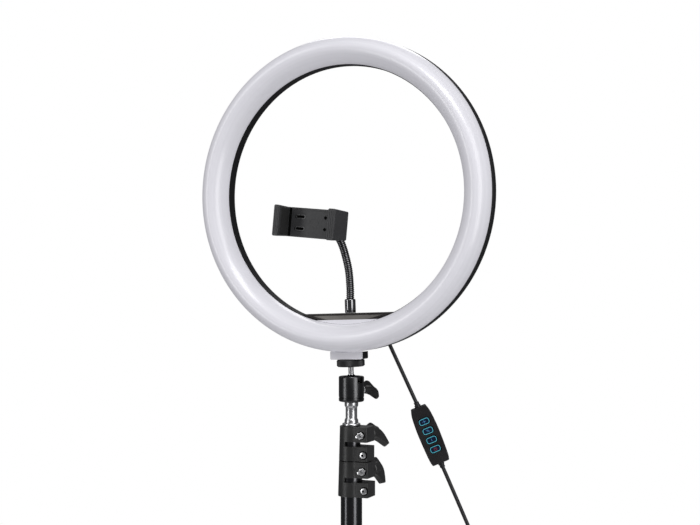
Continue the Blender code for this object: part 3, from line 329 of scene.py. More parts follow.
MATERIALS = {}
SLOW_NOISE, RING_NOISE = 55.0, 420.0
NOISE_LOW, NOISE_HIGH = 0.3, 0.7  # the range of the slow noise that is used


def put(tree, node, inputs):
    """Sets a node's inputs, each to a value or to another node's output."""
    for name, value in inputs.items():
        if isinstance(value, bpy.types.NodeSocket):
            tree.links.new(value, node.inputs[name])
        else:
            node.inputs[name].default_value = value


def shader_node(tree, kind, inputs, **settings):
    """A new shader node with its settings and inputs."""
    made = tree.nodes.new("ShaderNode" + kind)
    for name, value in settings.items():
        setattr(made, name, value)
    put(tree, made, inputs)
    return made


def map_range(tree, value, start, end, low=0.0, high=1.0, **settings):
    inputs = {"Value": value, "From Min": start, "From Max": end, "To Min": low, "To Max": high}
    return shader_node(tree, "MapRange", inputs, **settings).outputs["Result"]


def surface(
    name, colour, rough, metal=0.0, grain=0.0, grain_size=0.6, mottle=0.08, smear=0.06, coat=0.0, glow=None, spec=0.5
):
    """A Principled material with fine grain in its bump, and slow variation in colour and roughness.
    grain is the bump's depth and grain_size the size of its features, both in millimetres.
    mottle is the share by which the colour varies, and smear how much the roughness does.
    glow is a colour and its strength."""
    mat = bpy.data.materials.new(name)
    mat.use_nodes = True
    tree = mat.node_tree
    shader = tree.nodes["Principled BSDF"]
    place = shader_node(tree, "TexCoord", {}).outputs["Object"]
    slow = shader_node(tree, "TexNoise", {"Vector": place, "Scale": SLOW_NOISE, "Detail": 5.0}).outputs["Fac"]
    tone = shader_node(tree, "ValToRGB", {"Fac": slow})
    dark, light = tone.color_ramp.elements
    dark.position, light.position = NOISE_LOW, NOISE_HIGH
    dark.color = (*[c * (1 - mottle) for c in colour], 1)
    light.color = (*[min(1.0, c * (1 + mottle)) for c in colour], 1)
    spread = map_range(tree, slow, NOISE_LOW, NOISE_HIGH, max(0.02, rough - smear), min(1.0, rough + smear))
    put(tree, shader, {"Base Color": tone.outputs["Color"], "Roughness": spread, "Metallic": metal})
    put(tree, shader, {"Coat Weight": coat, "Coat Roughness": 0.12, "Specular IOR Level": spec})
    if grain:
        fine = shader_node(tree, "TexNoise", {"Vector": place, "Scale": 1.0 / (grain_size * MM), "Detail": 2.0})
        bump = {"Height": fine.outputs["Fac"], "Strength": 0.6, "Distance": grain * MM}
        put(tree, shader, {"Normal": shader_node(tree, "Bump", bump).outputs["Normal"]})
    if glow:
        put(tree, shader, {"Emission Color": (*glow[:3], 1), "Emission Strength": glow[3]})
    MATERIALS[name] = mat


def add_painted_ring_streaks(mat, centre, depth):
    """Faint rings round a centre, in colour: painted streaks of highlight, as the satin ring shows them."""
    tree = mat.node_tree
    shader = tree.nodes["Principled BSDF"]
    place = shader_node(tree, "TexCoord", {}).outputs["Object"]
    away = shader_node(tree, "VectorMath", {0: place, 1: centre}, operation="SUBTRACT").outputs[0]
    flat = shader_node(tree, "VectorMath", {0: away, 1: (1.0, 0.0, 1.0)}, operation="MULTIPLY").outputs[0]
    reach = shader_node(tree, "VectorMath", {0: flat}, operation="LENGTH").outputs["Value"]
    noise = {"W": reach, "Scale": RING_NOISE, "Detail": 3.0}
    noise = shader_node(tree, "TexNoise", noise, noise_dimensions="1D").outputs["Fac"]
    shade = map_range(tree, noise, 0.35, 0.65, 1.0 - depth)
    tint = {"Factor": 1.0, 6: shader.inputs["Base Color"].links[0].from_socket, 7: shade}
    tint = shader_node(tree, "Mix", tint, data_type="RGBA", blend_type="MULTIPLY")
    put(tree, shader, {"Base Color": tint.outputs[2]})


def make_materials():
    # The diffuser glows faintly though the lamp is off: painted light, a glow that lifts and flattens the ring's
    # shading.
    surface("diffuser", (0.53, 0.525, 0.56), 0.30, mottle=0.006, smear=0.0, coat=0.25, glow=(0.97, 0.96, 1.03, 0.235))
    # Painted highlight streaks, in rings round the middle of the ring.
    add_painted_ring_streaks(MATERIALS["diffuser"], HEAD.translation, 0.05)
    surface("white_foot", (0.74, 0.73, 0.78), 0.28, mottle=0.02, smear=0.0, coat=0.2)
    surface("shell", (0.010, 0.010, 0.011), 0.50, grain=0.05, grain_size=0.35, spec=0.16)
    # A lighter brownish colour for the bar's front: painted reflection of the diffuser.
    surface("bar_painted_reflection", (0.130, 0.122, 0.112), 0.34, grain=0.01, grain_size=0.5, mottle=0.2)
    surface("shell_gloss", (0.022, 0.020, 0.019), 0.20, grain=0.01, grain_size=0.5)
    surface("collar", (0.022, 0.022, 0.022), 0.36, grain=0.10, grain_size=0.28, mottle=0.15, smear=0.03, spec=0.48)
    surface("knob", (0.015, 0.015, 0.015), 0.36, grain=0.10, grain_size=0.3, mottle=0.15, smear=0.03)
    surface("gloss_black", (0.080, 0.080, 0.082), 0.27, metal=1.0, smear=0.03)
    surface("knurled", (0.022, 0.022, 0.024), 0.42, metal=0.3, mottle=0.12)
    surface("steel", (0.78, 0.78, 0.79), 0.30, metal=1.0, grain=0.03, grain_size=0.5, mottle=0.05)
    surface("chrome", (0.58, 0.58, 0.59), 0.30, metal=1.0, mottle=0.02, smear=0.0)
    surface("black_chrome", (0.22, 0.22, 0.225), 0.14, metal=1.0, mottle=0.02, smear=0.0)
    surface("neck", (0.13, 0.13, 0.135), 0.10, metal=1.0, mottle=0.0, smear=0.0)
    surface("brass", (0.68, 0.50, 0.22), 0.28, metal=1.0)
    surface("board", (0.75, 0.75, 0.70), 0.5)
    surface("nylon", (0.60, 0.60, 0.55), 0.5)
    surface("paint", (0.010, 0.010, 0.011), 0.32, grain=0.04, grain_size=0.4, spec=0.35)
    surface("tube", (0.085, 0.085, 0.090), 0.22, metal=1.0, mottle=0.03, smear=0.0)
    # Near-black painted shade, laid in holes, sockets, slots and grooves where shade falls.
    surface("painted_shade_black", (0.002, 0.002, 0.002), 0.9, spec=0.05)
    surface("rubber", (0.014, 0.014, 0.014), 0.75, grain=0.15, grain_size=0.5, spec=0.3)
    surface("holder", (0.034, 0.034, 0.036), 0.44, grain=0.07, grain_size=0.25, mottle=0.14, spec=0.45)
    surface("cord", (0.014, 0.014, 0.016), 0.42, grain=0.03, grain_size=0.5, spec=0.4)
    surface("controller", (0.012, 0.011, 0.012), 0.38, grain=0.03, grain_size=0.3, mottle=0.1, spec=0.3)
    surface("controller_edge", (0.20, 0.20, 0.21), 0.35)
    surface("button", (0.004, 0.008, 0.028), 0.30, spec=0.25)
    surface("glow_cyan", (0.03, 0.14, 0.17), 0.35, glow=(0.08, 0.42, 0.52, 1.0))
    surface("glow_blue", (0.02, 0.07, 0.14), 0.35, glow=(0.05, 0.20, 0.42, 0.6))
    surface("glow_red", (0.12, 0.02, 0.03), 0.35, glow=(0.30, 0.05, 0.06, 0.4))
    # Lighter edge colours: painted highlights along rounded edges.
    surface("holder_edge_highlight", (0.12, 0.12, 0.123), 0.38)
    surface("collar_edge_highlight", (0.050, 0.050, 0.050), 0.38)
    surface("tie", (0.02, 0.02, 0.02), 0.5, grain=0.1, grain_size=0.6)


make_materials()


# ---------------------------------------------------------------- power cord

GLAND_TIP = Vector((32.5, 15.6, 808.4)) * MM
CONTROLLER_TOP = Vector((62.2, 26.7, 739.4)) * MM
CONTROLLER_END = Vector((87.2, 40.1, 670.7)) * MM
CORD_LOWER_POINTS = [CONTROLLER_END] + [Vector(point) * MM for point in (
    (91.0, 42.1, 661.0), (110.5, 52.5, 609.8), (151.5, 74.4, 500.0), (187.6, 93.8, 400.0),
    (223.3, 112.9, 300.0), (258.5, 131.8, 200.0), (293.2, 150.4, 100.0), (310.6, 159.8, 52.0),
    (320.2, 164.9, 24.0), (328.8, 169.5, 7.6), (336.0, 173.4, 2.8), (341.8, 176.5, 2.4),
)]
COIL_CENTRE = Vector((326.3, 205.2, 0.0)) * MM
COIL_START_R, COIL_START_ANGLE = 32.6 * MM, math.radians(-61.6)
PLUG_TURN = math.radians(170.0)
PLUG_REACH, PLUG_CORD_Z = mm(33.5, 4.1)
HANGING = {"far_end": "object", "lay": "hanging"}


def cord_piece(name, route, body, nodes, second=None, start=None, end=None, **facts):
    """A length of the cord as a mesh tube, riding on a body, or left in place unattached where a second body is named.
    """
    route = [MAST @ p for p in route]
    obj = piece(name, swept(route, CORD_R, 20), "cord")
    if second:
        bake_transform(obj)
    else:
        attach(obj, body)
    if nodes:
        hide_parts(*nodes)


def coil_route():
    """Turns beside and on each other: three in, three out on top of them, and a little over one on those."""
    rows = [(26.6, 2.4), (22.5, 2.4), (18.4, 2.4), (18.4, 6.5), (22.5, 6.5), (26.6, 6.5), (26.6, 10.6), (22.5, 10.6)]
    shift = math.radians(70.0)
    lead = math.radians(75.0)
    points = []
    per_turn = 40
    for i in range(12):  # in from the end of the floor run to the outer row
        u = i / 12
        r = COIL_START_R + (rows[0][0] * MM - COIL_START_R) * eased(u)
        a = COIL_START_ANGLE + lead * u
        points.append((r, a, 2.4 * MM))
    first = COIL_START_ANGLE + lead
    for k, (r, z) in enumerate(rows):
        last = k == len(rows) - 1
        share = 1.0 if not last else 0.30
        steps = int(per_turn * share)
        for i in range(steps):
            u = i / per_turn
            a = first + 2 * math.pi * (k + u)
            rr, zz = r * MM, z * MM
            into = (u * 2 * math.pi - (2 * math.pi - shift)) / shift
            if into > 0 and not last:
                nr, nz = rows[k + 1]
                rr += (nr - r) * MM * eased(into)
                zz += (nz - z) * MM * eased(into)
                if nr == r:
                    rr += (1.5 if r > 20 else -1.5) * MM * math.sin(math.pi * into)
            points.append((rr, a, zz))
    # Out of the top row and down to the plug, which lies beside the coil.
    a0 = points[-1][1]
    goal = math.pi / 2
    while goal < a0 + math.radians(60):
        goal += 2 * math.pi
    r0, z0 = points[-1][0], points[-1][2]
    steps = max(8, int((goal - a0) / (2 * math.pi) * per_turn))
    for i in range(1, steps + 1):
        u = i / steps
        out = eased(max(0.0, (u - 0.25) / 0.75))
        fall = eased(max(0.0, (u - 0.55) / 0.45))
        points.append((r0 + (PLUG_REACH - r0) * out, a0 + (goal - a0) * u, z0 + (PLUG_CORD_Z - z0) * fall))
    return [COIL_CENTRE + Vector((r * math.cos(a), r * math.sin(a), z)) for r, a, z in points]


def make_cord():
    """Two lengths from the lamp to the switch and two down to the floor, end to end, and the coil."""
    thirds = [GLAND_TIP.lerp(CONTROLLER_TOP, share) for share in (0.33, 0.68)]
    upper = smooth_route([GLAND_TIP, *thirds, CONTROLLER_TOP], 2.5 * MM)
    half = len(upper) // 2
    cord_piece(
        "cord_from_lamp", upper[: half + 1], "lamp_head", ["cord_upper"], "ball_head", upper[1], upper[half - 1],
        **HANGING,
    )
    cord_piece("cord_to_switch", upper[half:], "ball_head", [], "top_mast", upper[half + 1], upper[-2], **HANGING)
    lower = smooth_route(CORD_LOWER_POINTS, 6.0 * MM)
    middle = min(range(len(lower)), key=lambda k: abs(lower[k].z - 340 * MM))
    cord_piece(
        "cord_below_switch", lower[: middle + 1], "top_mast", ["cord_lower"], "mid_mast", lower[3], lower[middle - 1],
        **HANGING,
    )
    near_floor = min(lower, key=lambda p: abs(p.z - 40 * MM))
    cord_piece("cord_to_floor", lower[middle:], "mid_mast", [], "stand", lower[middle + 1], near_floor, **HANGING)
    tie = make_tie()
    plug = make_plug()
    cord_piece(
        "cord_coiled", coil_route(), "stand", ["cord_coil"], far_end="plug", lay="coiled", with_pieces=[tie, *plug]
    )


def make_tie():
    """A soft strap round the bundle of turns."""
    angle = math.radians(215.0)
    inner, outer, low, high = mm(15.6, 29.4, 0.4, 13.6)
    middle, tall = (inner + outer) / 2, (low + high) / 2
    path = [(middle + x, tall + z) for x, z in rounded_box_outline((outer - inner) / 2, (high - low) / 2, 3.2 * MM, 8)]
    wide, thick = mm(4.5, 0.35)
    bm = bmesh.new()
    rows = []
    for k, (x, z) in enumerate(path):
        ahead, behind = path[(k + 1) % len(path)], path[k - 1]
        along = Vector((ahead[0] - behind[0], ahead[1] - behind[1])).normalized()
        out = Vector((along.y, -along.x))
        row = []
        for across, depth in ((-wide, 0), (-wide + 0.5 * MM, thick), (wide - 0.5 * MM, thick), (wide, 0)):
            row.append(bm.verts.new((x + out.x * depth, across, z + out.y * depth)))
        rows.append(row)
    for a, b in zip(rows, rows[1:] + rows[:1]):
        for i in range(4):
            j = (i + 1) % 4
            bm.faces.new((a[i], a[j], b[j], b[i]))
    place = MAST @ Matrix.Translation(COIL_CENTRE) @ spin(angle, "Z")
    return add("cord_tie", bm, "tie", place, "stand", slot="rubber")


def make_plug():
    """A moulded USB plug on the floor beside the coil."""
    place = MAST @ Matrix.Translation(COIL_CENTRE + Vector((0, PLUG_REACH, 0))) @ spin(PLUG_TURN, "Z")
    # In millimetres, along x from the end of the cord.
    long, wide, tall, boot, low, wall = 32.0, 12.4, 7.4, 13.0, 0.4, 0.4
    middle = low + tall / 2
    end = boot + long - boot * 0.4
    bm = rounded_plate(long / 2 - boot * 0.2, wide / 2, 2.2, ((boot + end) / 2, 0), low, low + tall)
    body = add("plug_body", bm, "controller", place, "stand", "usb_plug_body", slot="cord_black")
    soften(body, 1.0 * MM)
    radii, route = [], []
    for i in range(25):
        u = i / 24
        route.append(Vector((GAP + (boot + 1) * MM * u, 0, middle * MM)))
        groove = 0.35 * MM if i % 4 in (1, 2) and 2 < i < 22 else 0.0
        radii.append((2.2 + 0.9 * u) * MM - groove)
    relief = add("plug_relief", swept(route, radii, 24), "controller", place, "stand", slot="cord_black")
    start, half_wide, half_tall = end + 0.3, 5.9, 2.2
    tip = start + 18.6
    bm = box((start, tip), (-half_wide, half_wide), (middle - half_tall, middle + half_tall))
    shell = piece("plug_shell", bm, "steel", place)
    half_wide, half_tall = half_wide - wall, half_tall - wall
    bm = box((start + 4, tip + 1), (-half_wide, half_wide), (middle - half_tall, middle + half_tall))
    carve(shell, bm, place)
    for across in (-2.6, 2.6):
        carve(shell, box((start + 5.5, start + 8.1), (across - 1.2, across + 1.2), (middle, middle + 4)), place)
    soften(shell, 0.25 * MM, 2)
    ride(shell, "stand", "usb_plug_shell", slot="bright_steel")
    bm = box((start + 3, tip - 1.5), (-5.2, 5.2), (middle - 1.4, middle - 0.2))
    tongue = add("plug_tongue", bm, "nylon", place, "stand", slot="cord_black")
    soften(tongue, 0.2 * MM, 2)
    return [body, relief, shell, tongue]


make_cord()

# ---------------------------------------------------------------- lamp head


def rounded_section(outer, crest, inner, lip, bulge, steps):
    power = 2.0 / ROUNDNESS
    points = []
    for i in range(steps + 1):
        a = 0.5 * math.pi * i / steps
        points.append((crest + (outer - crest) * math.cos(a) ** power, -bulge * math.sin(a) ** power))
    for i in range(1, steps + 1):
        a = 0.5 * math.pi * (1.0 - i / steps)
        across = math.cos(a) ** power
        points.append((crest - (crest - inner) * across, lip - (lip + bulge) * math.sin(a) ** power))
    return points


def make_ring():
    sides, thick = 192, 1.6 * MM
    outside = rounded_section(RING_R, RING_CREST_R, RING_INNER_R, LIP_DEPTH, BULGE, 22)
    inside = rounded_section(RING_R - thick, RING_CREST_R, RING_INNER_R + thick, LIP_DEPTH, BULGE - thick, 8)
    bm = turned(outside + inside[::-1], sides, closed=True)
    add("diffuser_ring", bm, "diffuser", RING, "lamp_head", "diffuser", slot="diffuser_white", angle=50)
    corner = 3.0 * MM
    front_outer, front_inner = GAP, LIP_DEPTH + GAP
    outside = [(RING_R - 0.3 * MM, front_outer), (RING_R, front_outer + 0.3 * MM), (RING_R, 3.4 * MM)]
    outside += [(RING_R - 0.5 * MM, 3.8 * MM), (RING_R - 0.5 * MM, 4.6 * MM), (RING_R, 5.0 * MM)]
    outside += arc(corner, 0, math.pi / 2, 7, (RING_R - corner, SHELL_DEPTH - corner))
    for groove in ((156.0, 155.6, 153.4, 153.0), (147.0, 146.6, 144.4, 144.0)):
        outside += [(r * MM, SHELL_DEPTH + d * MM) for r, d in zip(groove, (0.0, -0.7, -0.7, 0.0))]
    outside += arc(corner, math.pi / 2, math.pi, 7, (SHELL_INNER_R + corner, SHELL_DEPTH - corner))
    outside += [(SHELL_INNER_R, front_inner)]
    floor = SHELL_DEPTH - thick
    inside = [(SHELL_INNER_R + thick, front_inner), (SHELL_INNER_R + thick, floor)]
    inside += [(RING_R - thick, floor), (RING_R - thick, front_outer)]
    bm = turned(outside + inside, sides, closed=True)
    add("rear_shell", bm, "shell", RING, "lamp_head", "back_shell", slot="shell_black", angle=28)
    middle = (RING_R + SHELL_INNER_R) / 2
    for number, angle in enumerate((45.0, 135.0, 225.0), 1):
        a = math.radians(angle)
        place = HEAD @ at(middle * math.cos(a), SHELL_DEPTH + GAP, middle * math.sin(a)) @ spin(-math.pi / 2, "X")
        profile = [(0, 0), (3.0, 0), (2.9, 0.5), (2.6, 0.95), (2.0, 1.3), (1.3, 1.5), (0.4, 1.5), (0, 1.5)]
        screw = piece(f"shell_screw_head_{number}", turned(in_mm(profile), 32), "steel", place)
        for turn in (math.pi / 4, 3 * math.pi / 4):
            carve(screw, block(mm(-1.5, -0.28, 0.7), mm(1.5, 0.28, 2)), place @ spin(turn, "Z"))
        ride(screw, "lamp_head", f"shell_screw_{number}", slot="bright_steel")


def foot_outline(half, top):
    radius = -top
    reach = math.asin(half / radius)
    painted_shade_black = arc(radius, -math.pi / 2 + reach, -math.pi / 2 - reach, 25)
    corner = 1.5 * MM
    left = arc(corner, math.pi, 1.5 * math.pi, 6, (-half + corner, FOOT_BOTTOM + corner))
    right = arc(corner, 1.5 * math.pi, 2 * math.pi, 6, (half - corner, FOOT_BOTTOM + corner))
    return painted_shade_black + left + right


def make_foot():
    half, top = 18.0 * MM, -(RING_R + 0.9 * MM)
    bm = lay_back(prism(foot_outline(half, top + 0.8 * MM), -4.0 * MM, -GAP))
    front = piece("foot_front_block", bm, "white_foot", HEAD)
    soften(front, 0.5 * MM)
    ride(front, "lamp_head", "foot_front", slot="foot_white")
    rear = piece("foot_rear_block", lay_back(prism(foot_outline(half, top), GAP, 13.0 * MM)), "shell", HEAD)
    carve(rear, rod((0, BALL_BEHIND_SEAM, FOOT_BOTTOM - MM), (0, BALL_BEHIND_SEAM, top + 4 * MM), 4.7 * MM), HEAD)
    soften(rear, 0.5 * MM)
    ride(rear, "lamp_head", "foot_rear", slot="shell_black")
    profile = [(4.4, FOOT_BOTTOM / MM), (4.4, top / MM - 1), (3.35, top / MM - 1), (3.35, FOOT_BOTTOM / MM)]
    bm, place = turned(in_mm(profile), 40, closed=True), HEAD @ at(0, BALL_BEHIND_SEAM, 0)
    add("brass_insert", bm, "brass", place, "lamp_head", "thread_insert", slot="brass")


def make_cross_bar():
    radius = SHELL_INNER_R - GAP
    reach = math.acos(-BAR_TOP / radius)
    outline = arc(radius, -math.pi / 2 - reach, -math.pi / 2 + reach, 49)
    bar = piece("lower_bar", lay_back(prism(outline, 2.6 * MM, 12.4 * MM)), "shell_gloss", HEAD)
    carve(bar, rod((*NECK_FOOT, BAR_TOP - 5 * MM), (*NECK_FOOT, BAR_TOP + 5 * MM), 3.0 * MM), HEAD)
    inner_r, line = radius - 2.4 * MM, -BAR_TOP + 2.2 * MM
    reach = math.acos(line / inner_r)
    panel = arc(inner_r, -math.pi / 2 - reach, -math.pi / 2 + reach, 41)
    carve(bar, lay_back(prism(panel, 2.0 * MM, 3.2 * MM)), HEAD)
    soften(bar, 0.5 * MM)
    ride(bar, "lamp_head", "cross_bar", slot="shell_black")
    # The bar's front panel in a lighter colour: painted reflection of the diffuser.
    bm = lay_back(prism(panel, 2.9 * MM, 3.3 * MM))
    add("lower_bar_face", bm, "bar_painted_reflection", HEAD, "lamp_head", slot="shell_black")
    # A thin white web of the diffuser's own plastic hides all but the bar's top edge.
    web_r, web_top = mm(136.0, 131.3)
    reach = math.acos(web_top / web_r)
    web = arc(web_r, -math.pi / 2 - reach, -math.pi / 2 + reach, 41)
    bm = lay_back(prism(web, 2.15 * MM, 2.5 * MM))
    add("diffuser_web", bm, "diffuser", HEAD, "lamp_head", slot="diffuser_white")


def in_head(place):
    middle = Vector((BALL_BELOW_RING * math.sin(HEAD_ROLL), -BALL_BEHIND_SEAM, RING_HEIGHT))
    return Matrix.Rotation(-HEAD_ROLL, 3, "Y") @ (place - middle)


def make_gland():
    tip = in_head(GLAND_TIP)
    along = (in_head(CONTROLLER_TOP) - tip).normalized()
    root = tip - along * 17 * MM
    back = SHELL_DEPTH + GAP
    near, far = (root.x - 8 * MM, back, root.z - 6 * MM), (root.x + 8 * MM, back + 7.5 * MM, root.z + 8 * MM)
    body = piece("cord_exit_block", block(near, far), "shell", HEAD)
    soften(body, 1.8 * MM, 4)
    ride(body, "lamp_head", "cable_gland", slot="cord_black")
    route, radii = [], []
    for i in range(41):
        u = i / 40
        route.append(root + along * 17 * MM * u)
        groove = 0.45 * MM if i % 5 in (1, 2) and 8 < i < 36 else 0.0
        radii.append((3.6 - 0.9 * u) * MM - groove)
    add("cord_exit_boot", swept(route, radii, 28), "cord", HEAD, "lamp_head", slot="cord_black")


make_ring()
make_foot()
make_cross_bar()
make_gland()

# ---------------------------------------------------------------- ball head and spigot


def make_disc():
    """The lock disc under the foot, with a finely knurled rim."""
    bottom, top = BALL_BELOW_RING - 180.6 * MM, BALL_BELOW_RING - 173.1 * MM
    teeth, r, deep = 64, 14.7 * MM, 0.35 * MM
    lower = [(3.35 * MM, bottom), (r - 1.3 * MM, bottom), (r - 0.5 * MM, bottom + 0.7 * MM), (r, bottom + 1.0 * MM)]
    upper = [(r, top - 1.0 * MM), (r - 0.5 * MM, top - 0.7 * MM), (r - 1.3 * MM, top), (3.35 * MM, top)]
    bm = turned(lower + upper, teeth * 4, closed=True)
    for v in bm.verts:
        flat = v.co.xy
        if flat.length > r - 0.6 * MM and bottom + 0.5 * MM < v.co.z < top - 0.5 * MM:
            phase = (math.atan2(flat.y, flat.x) * teeth / (2 * math.pi)) % 1.0
            cut = deep * (1.0 - abs(2 * phase - 1.0))
            v.co.xy = flat * ((flat.length - cut) / flat.length)
    add("lock_disc_knurled", bm, "knurled", LEANING, "lock_disc", "lock_disc", slot="knurled_black", angle=22)


def make_ball():
    screw_top = FOOT_BOTTOM + BALL_BELOW_RING + 4.5 * MM
    r, stem = mm(7.4, 3.05)
    high = math.acos(stem / r)
    steps = 28
    profile = [(0.0, -r)]
    for i in range(1, steps + 1):
        a = -math.pi / 2 + (high + math.pi / 2) * i / steps
        profile.append((r * math.cos(a), r * math.sin(a)))
    profile += [(0, r * math.sin(high))]
    bm = turned(profile, 64)
    add("ball_of_head", bm, "gloss_black", LEANING, "lamp_head", "ball_stud", slot="gloss_black")
    z = r * math.sin(high) - 0.6 * MM
    screw = [(0, z), (stem, z), (stem, z + 1.2 * MM)]
    z += 1.2 * MM
    pitch = 1.0 * MM
    while z < screw_top - 1.5 * MM:
        screw += [(stem - 0.5 * MM, z + 0.35 * pitch), (stem - 0.5 * MM, z + 0.5 * pitch)]
        screw += [(stem, z + 0.85 * pitch), (stem, z + pitch)]
        z += pitch
    screw += [(stem - 0.6 * MM, screw_top), (0, screw_top)]
    add("ball_screw", turned(screw, 40), "steel", LEANING, "lamp_head", slot="bright_steel", angle=25)


def make_housing():
    r, top, bottom = HOUSING_R, HOUSING_TOP, HOUSING_BOTTOM
    seat, mouth = mm(7.7, 8.6)
    profile = [(mouth, top - 0.3 * MM), (mouth + 0.4 * MM, top), (r - 0.9 * MM, top), (r - 0.3 * MM, top - 0.3 * MM)]
    profile += [(r, top - 0.9 * MM), (r, -16.4 * MM), (r - 0.45 * MM, -16.7 * MM), (r - 0.45 * MM, -17.4 * MM)]
    profile += [(r, -17.7 * MM), (r, bottom + 1.2 * MM), (r - 0.3 * MM, bottom + 0.5 * MM), (r - 1.0 * MM, bottom)]
    profile += [(3.4 * MM, bottom), mm(3.4, -15.5), mm(10.5, -15.5), mm(10.5, 0)]
    profile += [(seat * math.cos(a), seat * math.sin(a)) for a in (0.17, 0.24, 0.32, 0.40)]
    housing = piece("ball_cup", turned(profile, 128, closed=True), "gloss_black", BALL)
    along = Vector((math.cos(math.radians(60)), math.sin(math.radians(60)), 0.0))
    drop = Vector((0, 0, -BALL_KNOB_DROP))
    carve(housing, rod(along * 8 * MM + drop, along * 20 * MM + drop, 2.4 * MM), BALL)
    # Two shallow notches in the rim, one of them deep enough for the screw to lie in.
    for azimuth, width, deep in ((-22.0, 6.6, 6.5), (-100.0, 5.0, 1.2)):
        notch = block((6 * MM, -width / 2 * MM, top - deep * MM), (16 * MM, width / 2 * MM, top + 2 * MM))
        carve(housing, notch, BALL @ spin(math.radians(azimuth), "Z"))
    ride(housing, "ball_head", "ball_housing", slot="gloss_black")
    inner, cup_r = 10.2 * MM, seat + 0.05 * MM
    profile = [mm(3.2, -15.2), (inner, -15.2 * MM), (inner, -1.9 * MM)]
    profile += [(cup_r * math.cos(a), -cup_r * math.sin(a)) for a in (0.25, 0.40, 0.55, 0.70, 0.85, 1.0, 1.14)]
    bm = turned(profile, 48, closed=True)
    add("ball_cushion", bm, "nylon", BALL, "ball_head", "ball_seat", slot="nylon_seat")


def wing_outline(size, short_wing):
    """A wing knob's blade seen side on, as (away from the screw, along it). Its long wing is on the positive
    side, and the short wing's reach is multiplied by the factor given."""
    shape = [(6.2, 0.5), (6.2, 2.0), (7.4, 5.6), (10.0, 9.5), (13.4, 12.6), (17.4, 16.3), (18.2, 17.6), (18.4, 19.0)]
    shape += [(18.4, 20.6), (18.1, 21.8), (17.2, 22.6), (12.5, 24.6), (7.0, 26.1), (4.0, 26.0), (1.0, 25.0)]
    shape += [(-4.0, 21.2), (-8.5, 17.3), (-9.9, 15.4), (-10.5, 13.0), (-10.5, 10.0), (-10.0, 7.8), (-8.6, 5.6)]
    shape += [(-6.7, 3.2), (-6.2, 0.5)]
    return [mm((x * short_wing if x < -7.0 else x) * size, y * size) for x, y in shape]


def make_knob(name, node, place, azimuth, tilt, screw, screw_r, size=1.0, short_wing=1.0):
    """A wing knob and its screw, on the body of the knob's own name."""
    face = place @ spin(azimuth, "Z") @ spin(math.pi / 2, "Y")
    thick = 5.5 * MM * size
    bm = lay_back(prism(wing_outline(size, short_wing), -thick / 2, thick / 2))
    knob = piece(name, bm, "knob", face @ spin(tilt, "Z"))
    hub_r, hub_l = 6.6 * MM * size, 17.0 * MM * size
    profile = [mm(0, 0.2), (hub_r - 0.9 * MM, 0.2 * MM), (hub_r, MM), (hub_r, hub_l - 2.4 * MM)]
    profile += [(hub_r - 0.6 * MM, hub_l - 1.1 * MM), (hub_r - 2.0 * MM, hub_l), (0, hub_l)]
    carve(knob, turned(profile, 40), face, "UNION")
    soften(knob, 1.0 * MM * size, highlight_edges="collar_edge_highlight", angle=28)
    ride(knob, node, node, slot="collar_plastic")
    bm = rod((0, 0, -screw), (0, 0, hub_l * 0.5), screw_r, 24)
    add(f"{name}_screw", bm, "steel", face, node, slot="bright_steel")


def make_spigot():
    flange, top, under = [z / MM for z in (COLLAR_TOPS[0] + 0.5 * MM, COLLAR_TOPS[0] + 2.8 * MM, HOUSING_BOTTOM - GAP)]
    profile = [(0, flange - 20), (6.6, flange - 20), (6.6, flange), (9.3, flange), (9.5, flange + 0.3)]
    profile += [(9.5, top - 0.6), (9.2, top - 0.1), (8.6, top), (7.5, top + 0.5), (7.25, top + 1.3), (7.2, top + 3.0)]
    profile += [(7.0, top + 3.8), (6.4, top + 4.8), (6.1, top + 5.6)]
    profile += [(6.1, under - 6.2), (6.3, under - 5.6), (6.9, under - 4.8), (7.2, under - 4.1), (7.2, under - 1.0)]
    profile += [(7.0, under - 0.3), (6.5, under), (3.1, under), (3.1, under + 5.8), (0, under + 5.8)]
    bm = turned(in_mm(profile), 96)
    add("polished_spigot", bm, "chrome", BALL, "top_mast", "spigot", slot="chrome", angle=40)


# ---------------------------------------------------------------- mast


def pipe(name, node, radius, bore, low, high, body):
    edge = 0.3 * MM
    profile = [(radius, low + edge), (radius, high - edge), (radius - edge, high)]
    profile += [(bore, high), (bore, low), (radius - edge, low)]
    add(name, turned(profile, 96, closed=True), "tube", MAST, body, node, slot="painted_steel")


def collar_outline(number):
    radius, x, y, corner = COLLAR_RADII[number], COLLAR_X[number], COLLAR_Y, 1.5 * MM
    start = math.asin(y / radius)
    out = arc(radius, start, 2 * math.pi - start, 64)
    out += arc(corner, -math.pi / 2, 0, 5, (x - corner, -y + corner))
    out += arc(corner, 0, math.pi / 2, 5, (x - corner, y - corner))
    return out


def hex_outline(radius, turn=0.0):
    return [(radius * math.cos(turn + i * math.pi / 3), radius * math.sin(turn + i * math.pi / 3)) for i in range(6)]


